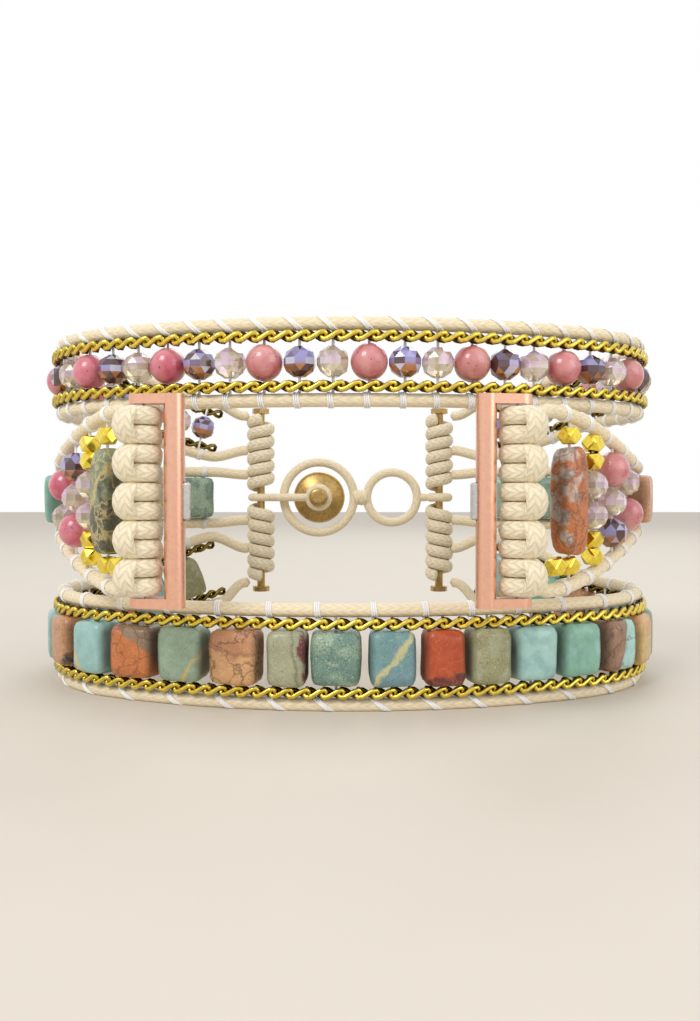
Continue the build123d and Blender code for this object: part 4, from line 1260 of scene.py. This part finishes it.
def stone_piece(name, node, slot, material, sizes, origins, axes, looks, power, seed):
    """Tumbled stones in one object, each uneven by low waves and a slight taper of its own.

    Both only take away from the block: its size times 0.98 + 0.014 times the waves' sum, up to
    1, and its width times 1 + up to 0.06 from foot to top, up to 1.
    """
    points, faces = tumbled(power)
    random = np.random.default_rng(seed)
    count, size = len(origins), len(points)
    phases = random.uniform(0, 2 * pi, (count, 1, 3))
    long_waves = np.sin(points[None] * 2.1 + phases)
    short_waves = np.sin(points[None, :, ::-1] * 3.7 - phases)
    uneven = 0.98 + 0.014 * (long_waves + 0.6 * short_waves).sum(-1, keepdims=True)
    taper = 1 + random.uniform(-0.06, 0.06, (count, 1)) * points[None, :, 2]
    shapes = points[None] * np.minimum(uneven, 1.0)
    shapes[..., 0] *= np.minimum(taper, 1.0)
    shapes = shapes * (np.array(sizes)[:, None, :] / 2)
    corners, all_faces = placed(shapes, faces, origins, axes)
    chosen = [STONE_LOOKS[look] for look in looks]
    values = {"seed": np.repeat(random.uniform(0, 4, count), size)}
    for index, key in enumerate(("tone", "patch", "vein")):
        colours = np.array([(*TONES[look[index]], 1.0) for look in chosen])
        values[key] = np.repeat(colours, size, axis=0)
    for index, key in ((3, "hold"), (4, "veined"), (5, "specked"), (7, "lean"), (8, "streak")):
        values[key] = np.repeat([look[index] for look in chosen], size)
    # Painted shade: the flanks, from 0.93 of the half width on, face the neighbours, and the
    # finish paints them darker
    flank_shade = np.clip((np.abs(points[:, 0]) - 0.93) / 0.06, 0, 1)
    values["flank_shade"] = np.tile(flank_shade, count)
    planes = np.array([look[6] for look in chosen])
    split = planes[:, :2] @ points[:, ::2].T - planes[:, 2:]
    values["split"] = split.ravel()
    return mesh_piece(name, corners, all_faces, "root", material, [node], values)


class BAND_OT_stones(bpy.types.Operator):
    """Tumbled square stones of the bottom row and of the straps, and the two bar stones"""

    bl_idname = "bead_band.stones"
    bl_label = "Stones"

    def execute(self, context):
        power = context.scene.band_beads.stone_round
        tumbled_stone = stone_finish("tumbled_stone", 300.0, 230.0, 0.05)
        bar_stone = stone_finish("bar_stone", 420.0, 300.0, 0.09)
        stones = bottom_stones()
        for number, colour in enumerate(sorted({stone[0] for stone in stones})):
            _, widths, distances, looks = zip(*[s for s in stones if s[0] == colour])
            stone_piece(
                f"bottom_row_{colour}_tumbled", f"bottom_row_{colour}_stones",
                f"{colour}_stone", tumbled_stone,
                [(width, STONE_DEPTH, STONE_HEIGHT) for width in widths],
                *row_axes("bottom", distances), looks, power, 20 + number,
            )
        for number, hand in enumerate(HANDS):
            stone_piece(
                f"{hand}_strap_tumbled", f"{hand}_strap_stones", "mixed_stone", tumbled_stone,
                [(STONE_WIDTH, STONE_DEPTH, STONE_HEIGHT)] * STRAP_STONES,
                *strap_axes(hand, strap_stone_distances(hand), MIDDLE),
                STRAP_LOOKS[number:] + STRAP_LOOKS[:number], power, 40 + number,
            )
            look, slot = BAR_LOOKS[hand]
            stone_piece(
                f"{hand}_strap_bar", f"{hand}_strap_bar_stone", slot, bar_stone,
                [(BAR_WIDTH, BAR_DEPTH, BAR_HEIGHT)], *strap_places(context, hand)[BAR],
                [look], BAR_ROUND, 50 + number,
            )
        return {"FINISHED"}


def nugget(size, stretch, soft=0.2):
    """Cut cube: the faces of a cuboctahedron, each drawn in to its middle, and their hull."""
    corners = []
    for axis, level in np.ndindex(3, 2):
        for pair in ((1, 0), (0, 1), (-1, 0), (0, -1)):
            middle = np.zeros(3)
            corner = np.insert(np.array(pair, float), axis, 2 * level - 1)
            middle[axis] = 2 * level - 1
            corners.append(corner + (middle - corner) * soft)
    for signs in np.ndindex(2, 2, 2):
        whole = 2.0 * np.array(signs) - 1
        for axis in range(3):
            corner = whole.copy()
            corner[axis] = 0
            corners.append(corner + (whole * 2 / 3 - corner) * soft)
    hull = bmesh.new()
    for corner in corners:
        hull.verts.new(corner * np.array(stretch) * size / 2)
    bmesh.ops.convex_hull(hull, input=hull.verts)
    points = np.array([vertex.co[:] for vertex in hull.verts])
    hull.verts.index_update()
    faces = np.array([[vertex.index for vertex in face.verts] for face in hull.faces])
    hull.free()
    return points, [faces]


class BAND_OT_nuggets(bpy.types.Operator):
    """Gold nuggets of the straps, cut so that a rhombus faces out"""

    bl_idname = "bead_band.nuggets"
    bl_label = "Gold nuggets"

    def execute(self, context):
        plate = metal_finish(
            "nugget_gold", rgb(252, 228, 92), rgb(196, 150, 30), 0.16, scuffs=0.03
        )
        form = nugget(NUGGET_SIZE, (1.2, 1.0, 1.0))
        for hand in HANDS:
            origins, axes = strap_places(context, hand)[NUGGET]
            # Each nugget leans by up to 0.18 radians, so that they don't all glint alike
            lean = 0.18 * np.sin(np.arange(len(origins)) * 2.4)[:, None]
            along = axes[:, 0] * np.cos(lean) + axes[:, 2] * np.sin(lean)
            up = axes[:, 2] * np.cos(lean) - axes[:, 0] * np.sin(lean)
            bead_piece(
                f"{hand}_strap_nuggets_cut", f"{hand}_strap_gold_nuggets", "gold_nugget",
                plate, form, origins, np.stack([along, axes[:, 1], up], 1), seed=31, flat=True,
            )
        return {"FINISHED"}


def braided(points, normals, radius, side_count, flatten, stitch, plies, depth):
    """Swept cord whose radius rises on each stitch of a herringbone braid.

    Rise = sine of the stitch's phase times the column's sine; the phase leans with the fold.
    """
    uv = sweep_uv(points, side_count)
    fold = 1 - np.abs(1 - 2 * ((uv[:-1, :-1, 0] * plies) % 1))
    phase = (uv[:-1, :-1, 1] / stitch + fold * 0.9) % 1
    rise = np.sin(pi * phase) ** 0.6 * (0.4 + 0.6 * np.sin(pi * np.clip(fold, 0, 1)) ** 0.4)
    smooth_grid = sweep(points, normals, radius, side_count, flatten)
    spokes = smooth_grid - points[:, None]
    return points[:, None] + spokes * (1 - depth + depth * rise)[..., None], uv


# Lashings of the lug bars: how many wraps and bights, the first and last turn of the winding,
# its start angle, and the angle from straight sideways to the front at which the bights stand
WRAPS, BIGHTS, WRAP_TURNS, WRAP_START, BIGHT_FORWARD = 10, 5, (-0.2, 9.44), radians(190), 57
# Height of a turn, radius of the winding, and the radius of the cord of a wrap and of a bight
WRAP_PITCH, WRAP_RADIUS, WRAP_CORD, BIGHT_CORD = 2.522, 1.92, 1.03, 0.88
# Lashings of the end bars: how many turns, height of the first above the middle, height of a
# turn, radius of the winding and radius of its cord
END_TURNS, END_FIRST, END_PITCH, END_RADIUS, END_CORD = 5.5, 2.15, 2.5, 1.95, 0.9


def add_wound(batch, points, normal, radius, side_count, flatten, plies, depth):
    """Add a braided cord with domed ends; its normal is the same at every point."""
    normals = np.tile(normal, (len(points), 1))
    size = rounded_ends(points, radius)
    batch.add(*braided(points, normals, size, side_count, flatten, 1.0, plies, depth))


def add_lug_lashing(batch, hand):
    """Add the wraps of a lug bar and the bights beside them.

    A wrap stays level round its front and climbs by one pitch in 0.24 turns behind. A bight is
    a loop in a standing plane: reach 1.55 + 1.6 cosine and rise 1.8 sine of its swing.
    """
    sign, angle = HANDS[hand], radians(STRAP_ANGLE[hand])
    lead = np.array([sign * cos(angle), sin(angle), 0.0])
    across = np.array([-lead[1], lead[0], 0.0]) * sign
    bar = np.array([GAP_X + sign * LUG_REACH, BAR_Y, MIDDLE])
    turns = np.linspace(*WRAP_TURNS, 1000)
    # Counted from behind the bar, where the climbs are
    counted = turns + 100 / 360
    near = counted - np.round(counted)
    level = np.round(counted) - 0.5 + smooth((near + 0.12) / 0.24) - WRAPS / 2
    round_bar = around(2 * pi * turns + WRAP_START, lead, across)
    points = bar + round_bar * WRAP_RADIUS + UP * (level * WRAP_PITCH)[:, None]
    add_wound(batch, points, UP, WRAP_CORD, 24, 1.21, 5.0, 0.04)
    forward = radians(BIGHT_FORWARD)
    face = np.array([sign * cos(forward), -sin(forward), 0.0])
    side = np.array([-face[1], face[0], 0.0])
    swing = np.linspace(radians(-125), radians(125), 70)
    reach = face * (1.55 + 1.6 * np.cos(swing))[:, None]
    for number in range(BIGHTS):
        rise = 2 * WRAP_PITCH * (number - BIGHTS // 2) + 1.8 * np.sin(swing)
        points = bar + reach + UP * rise[:, None]
        add_wound(batch, points, side, BIGHT_CORD, 28, 2.1, 6.0, 0.04)


def add_end_lashing(batch, hand):
    """Add the windings of an end bar, one above and one below the closure."""
    place, outward = oval(HANDS[hand] * END_BAR)
    outward = np.array([outward[0], outward[1], 0.0])
    side = np.array([-outward[1], outward[0], 0.0])
    turn = np.linspace(0, END_TURNS, 600)
    spokes = around(2 * pi * turn, outward, side)
    for level in (-1, 1):
        height = MIDDLE + level * (END_FIRST + END_PITCH * turn)
        points = np.array([*place, 0.0]) + spokes * END_RADIUS + UP * height[:, None]
        add_wound(batch, points, UP, END_CORD, 20, 1.32, 5.0, 0.06)


class BAND_OT_lashings(bpy.types.Operator):
    """Lashings of the lug bars with their bights, and the lashings of the end bars"""

    bl_idname = "bead_band.lashings"
    bl_label = "Lashings"

    def execute(self, context):
        colour = tuple(context.scene.band_cords.lashing)
        cord = cord_finish("lashing_cord", colour, 0.74, 0.95, 5.0, 0.5, 0.65)
        for hand in HANDS:
            for node, add_cord in (
                (f"{hand}_strap_lashing", add_lug_lashing),
                (f"{hand}_end_lashing", add_end_lashing),
            ):
                batch = Batch()
                add_cord(batch, hand)
                batch.build(f"{node}_braid", "root", cord, [node])
        return {"FINISHED"}


def add_ring(batch, centre, x_axis, y_axis, radius, cord_radius):
    """Add a closed ring of cord about the axis x times y, with UVs in millimetres round it."""
    count, side_count = 72, 16
    turn = np.linspace(0, 2 * pi, count, endpoint=False)
    points = centre + radius * around(turn, x_axis, y_axis)
    normals = np.tile(np.cross(x_axis, y_axis), (count, 1))
    u = np.broadcast_to(np.linspace(0, 1, side_count + 1), (count + 1, side_count + 1))
    v = np.linspace(0, round(2 * pi * radius), count + 1)[:, None]
    uv = np.stack([u, np.broadcast_to(v, u.shape)], -1)
    batch.add(closed_sweep(points, normals, cord_radius, side_count), uv, closed_rows=True)


def add_straight(batch, points, normal, radius):
    """Add a cord of even thickness along points."""
    normals = np.tile(normal, (len(points), 1))
    batch.add(sweep(points, normals, radius, 12), sweep_uv(points, 12))


def add_knot(batch, centre, length, reach, cord_radius):
    """Add a barrel knot: three turns of cord round the strap, widest in the middle."""
    turn = np.linspace(0, 3, 120)
    swell = reach * (0.82 + 0.18 * np.sin(pi * turn / 3))
    points = centre + np.stack(
        [
            (turn / 3 - 0.5) * length,
            swell * np.cos(2 * pi * turn),
            swell * np.sin(2 * pi * turn),
        ],
        -1,
    )
    normals = np.tile([1.0, 0.0, 0.0], (len(points), 1))
    size = rounded_ends(points, cord_radius)
    batch.add(sweep(points, normals, size, 12), sweep_uv(points, 12))


# Closure: from the right end bar to the button, radii of the hitch round an end bar, of the
# loop round the button and of the spare loop
BUTTON_REACH, HITCH_RADIUS, LOOP_RADIUS, SPARE_RADIUS = 24.5, 1.85, 7.15, 5.1
# Radius of the loop strap's cord, and the same in the solids
STRAP_CORD, SOLID_CORD = 0.88, 0.9
# Radius of the button cord, of its eye, and how far the eye lies in front of the button
BUTTON_CORD, EYE_RADIUS, EYE_FORWARD = 0.78, 1.95, 2.1


class BAND_OT_closure(bpy.types.Operator):
    """Loop strap, button and button cord of the closure"""

    bl_idname = "bead_band.closure"
    bl_label = "Closure"

    def execute(self, context):
        cord = once(waxed_cord)
        x, y, z = np.eye(3)
        left, right = (
            np.array([*oval(sign * END_BAR)[0], MIDDLE]) for sign in HANDS.values()
        )
        button = right - x * BUTTON_REACH
        hitch_end = right[0] - HITCH_RADIUS - SOLID_CORD
        loop_end = button[0] + LOOP_RADIUS + SOLID_CORD
        spare = np.array([(hitch_end + loop_end) / 2, right[1], MIDDLE])
        batch = Batch()
        add_ring(batch, right, x, y, HITCH_RADIUS, STRAP_CORD)
        add_ring(batch, spare, x, z, SPARE_RADIUS, STRAP_CORD)
        add_ring(batch, button, x, z, LOOP_RADIUS, STRAP_CORD)
        # Knots on both sides of the spare loop: middle, length, reach and cord
        spare_reach = SPARE_RADIUS + SOLID_CORD
        for knot_x, length, reach, knot_cord in (
            ((hitch_end + spare[0] + spare_reach) / 2, 1.2, 0.5, 0.34),
            ((loop_end + spare[0] - spare_reach) / 2, 2.4, 0.95, 0.72),
        ):
            # The cords that run through a knot, as one round core
            core = np.array([knot_x, right[1], MIDDLE])
            route = core + x * np.linspace(-1.7, 1.7, 9)[:, None]
            add_straight(batch, route, z, reach * 0.84)
            add_knot(batch, core, length, reach, knot_cord)
        batch.build("loop_strap_braid", "loop_strap", cord, ["loop_strap"])

        batch = Batch()
        eye = button - y * EYE_FORWARD
        add_ring(batch, left, x, y, HITCH_RADIUS, BUTTON_CORD)
        add_ring(batch, eye, x, z, EYE_RADIUS, BUTTON_CORD)
        # From the hitch round the left end bar, forward to the eye's plane and on to the eye
        bends = np.array(
            [
                left + x * HITCH_RADIUS - y * 0.45,
                left + x * 2 * HITCH_RADIUS - y * EYE_FORWARD,
                eye - x * 3.55,
                eye - x * 1.9,
            ]
        )
        share = np.linspace(0, 3, 40)
        route = np.stack([np.interp(share, range(4), bends[:, k]) for k in range(3)], -1)
        add_straight(batch, route, z, BUTTON_CORD)
        batch.build("button_cord_braid", "root", cord, ["button_cord"])

        # Radius and height of the button's turned form, from the shank's foot to the face
        profile = [
            (0.9, -3.8), (1.6, -3.8), (1.8, -3.6), (1.8, -3.1), (1.6, -3.0), (1.0, -2.95),
            (1.0, 1.1), (1.1, 1.2), (4.7, 1.2), (5.1, 1.5), (5.25, 2.0), (5.22, 2.7),
            (5.0, 3.3), (4.6, 3.75), (4.2, 3.88), (3.75, 3.85), (3.45, 3.6), (3.3, 3.42),
            (2.0, 3.5), (0.6, 3.6),
        ]
        points, faces = capped(lathe(profile, 56))
        axes = np.array([[x, -z, y]])
        corners, all_faces = placed(points, faces, button[None], axes)
        mesh_piece(
            "button_turned", corners, all_faces, "button",
            metal_finish("button_brass", BRASS, BRASS_TARNISH, 0.34), ["button"],
        )
        return {"FINISHED"}


class BAND_OT_hardware(bpy.types.Operator):
    """Finishes of the lug adapters, bars, screws, latches, springs and end bars"""

    bl_idname = "bead_band.hardware"
    bl_label = "Hardware finishes"

    def execute(self, context):
        adapter = tuple(context.scene.band_metal.adapter)
        dull = tuple(value * 0.85 for value in adapter)
        rose_gold = metal_finish("rose_gold", adapter, dull, 0.3, scuffs=0.02)
        steel = metal_finish(
            "spring_steel", rgb(206, 206, 204), rgb(170, 170, 170), 0.28, scuffs=0.02
        )
        brass = metal_finish("end_brass", BRASS, BRASS_TARNISH, 0.34)
        finishes = {
            "lug_adapter": rose_gold,
            "lug_bar": steel,
            "bar_screws": steel,
            "latch": steel,
            "latch_spring": steel,
            "end_bar": brass,
        }
        for hand in HANDS:
            for word, material in finishes.items():
                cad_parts[f"{hand}_{word}"].material_slots[0].material = material
        return {"FINISHED"}


# Floor in metres: half its width, and how far it reaches to the front and to the back
FLOOR_SIDE, FLOOR_FRONT, FLOOR_BACK = 3.0, -1.0, 1.14
# Camera: focal length in millimetres, height in metres, and tilt down in degrees
CAMERA_LENS, CAMERA_HEIGHT, CAMERA_TILT = 32.3, 0.0312, 1.28


class BAND_OT_stage(bpy.types.Operator):
    """Pale floor, soft light and the camera"""

    bl_idname = "bead_band.stage"
    bl_label = "Stage"

    def execute(self, context):
        settings = context.scene.band_stage
        floor_colour = tuple(settings.floor)
        material, tree, shader = start_finish("pale_floor", Specular_IOR_Level=0.2)
        grain = object_noise(tree, 60.0, 4.0)
        dim = tuple(value * 0.96 for value in floor_colour)
        tree.links.new(blended(tree, grain, dim, floor_colour), shader.inputs["Base Color"])
        shader.inputs["Roughness"].default_value = 0.6
        corners = [
            (-FLOOR_SIDE, FLOOR_FRONT, 0.0),
            (FLOOR_SIDE, FLOOR_FRONT, 0.0),
            (FLOOR_SIDE, FLOOR_BACK, 0.0),
            (-FLOOR_SIDE, FLOOR_BACK, 0.0),
        ]
        mesh = bpy.data.meshes.new("floor")
        mesh.from_pydata(corners, [], [(0, 1, 2, 3)])
        mesh.materials.append(material)
        floor = bpy.data.objects.new("floor", mesh)
        context.scene.collection.objects.link(floor)

        world = bpy.data.worlds.new("studio")
        context.scene.world = world
        world.use_nodes = True
        tree = world.node_tree
        background = tree.nodes["Background"]
        path = add_node(tree, "ShaderNodeLightPath")
        seen = maths(
            tree, "MAXIMUM", path.outputs["Is Camera Ray"], path.outputs["Is Transmission Ray"]
        )
        seen = maths(tree, "MAXIMUM", seen, path.outputs["Is Glossy Ray"])
        strength = maths(tree, "MULTIPLY_ADD", seen, 1.0 - settings.world, settings.world)
        background.inputs["Color"].default_value = (1.0, 1.0, 1.0, 1.0)
        tree.links.new(strength, background.inputs["Strength"])

        # Soft lights, all aimed at the middle of the front: place, size and power
        target = np.array([0.0, -0.01, 0.025])
        for name, place, size, power in (
            ("key_light", (-0.26, -0.34, 0.42), 0.22, settings.key_power),
            ("fill_light", (0.36, -0.26, 0.2), 0.3, settings.key_power * 0.35),
            ("back_light", (0.1, 0.38, 0.4), 0.3, settings.key_power * 0.45),
        ):
            light = bpy.data.lights.new(name, "AREA")
            light.energy, light.size = power, size
            lamp = bpy.data.objects.new(name, light)
            lamp.location = place
            way = target - np.array(place)
            lamp.rotation_euler = Vector(way).to_track_quat("-Z", "Y").to_euler()
            context.scene.collection.objects.link(lamp)

        camera = bpy.data.cameras.new("camera")
        camera.lens, camera.sensor_width = CAMERA_LENS, 36.0
        camera.clip_start = 0.01
        shooter = bpy.data.objects.new("camera", camera)
        back = CENTRE_Y * MM - settings.camera_distance
        shooter.location = (0.0, back, CAMERA_HEIGHT)
        shooter.rotation_euler = (radians(90 - CAMERA_TILT), 0.0, 0.0)
        context.scene.collection.objects.link(shooter)
        context.scene.camera = shooter
        context.scene.view_settings.view_transform = "Standard"
        return {"FINISHED"}


STEPS = (
    BAND_OT_stage,
    BAND_OT_hardware,
    BAND_OT_row_cords,
    BAND_OT_thread,
    BAND_OT_chains,
    BAND_OT_rose_beads,
    BAND_OT_crystals,
    BAND_OT_stones,
    BAND_OT_nuggets,
    BAND_OT_lashings,
    BAND_OT_closure,
)


class BAND_PT_panel(bpy.types.Panel):
    """Lists the steps that build the band, and their settings"""

    bl_idname = "BAND_PT_panel"
    bl_label = "Bead watch band"
    bl_space_type = "VIEW_3D"
    bl_region_type = "UI"
    bl_category = "Bead band"

    def draw(self, context):
        for step in STEPS:
            self.layout.operator(step.bl_idname)
        for group in SETTINGS:
            settings = getattr(context.scene, group)
            # The first two properties of a group are Blender's own
            for key in settings.bl_rna.properties.keys()[2:]:
                self.layout.prop(settings, key)


SETTINGS = {
    "band_cords": BandCordSettings,
    "band_beads": BandBeadSettings,
    "band_metal": BandMetalSettings,
    "band_stage": BandStageSettings,
}


def register():
    for settings in SETTINGS.values():
        bpy.utils.register_class(settings)
    for name, settings in SETTINGS.items():
        setattr(bpy.types.Scene, name, bpy.props.PointerProperty(type=settings))
    for step in (*STEPS, BAND_PT_panel):
        bpy.utils.register_class(step)


def unregister():
    for step in reversed((*STEPS, BAND_PT_panel)):
        bpy.utils.unregister_class(step)
    for name in SETTINGS:
        delattr(bpy.types.Scene, name)
    for settings in SETTINGS.values():
        bpy.utils.unregister_class(settings)


def main():
    """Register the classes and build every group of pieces."""
    register()
    for step in STEPS:
        getattr(bpy.ops.bead_band, step.bl_idname.split(".")[1])()


if __name__ == "__main__":
    main()
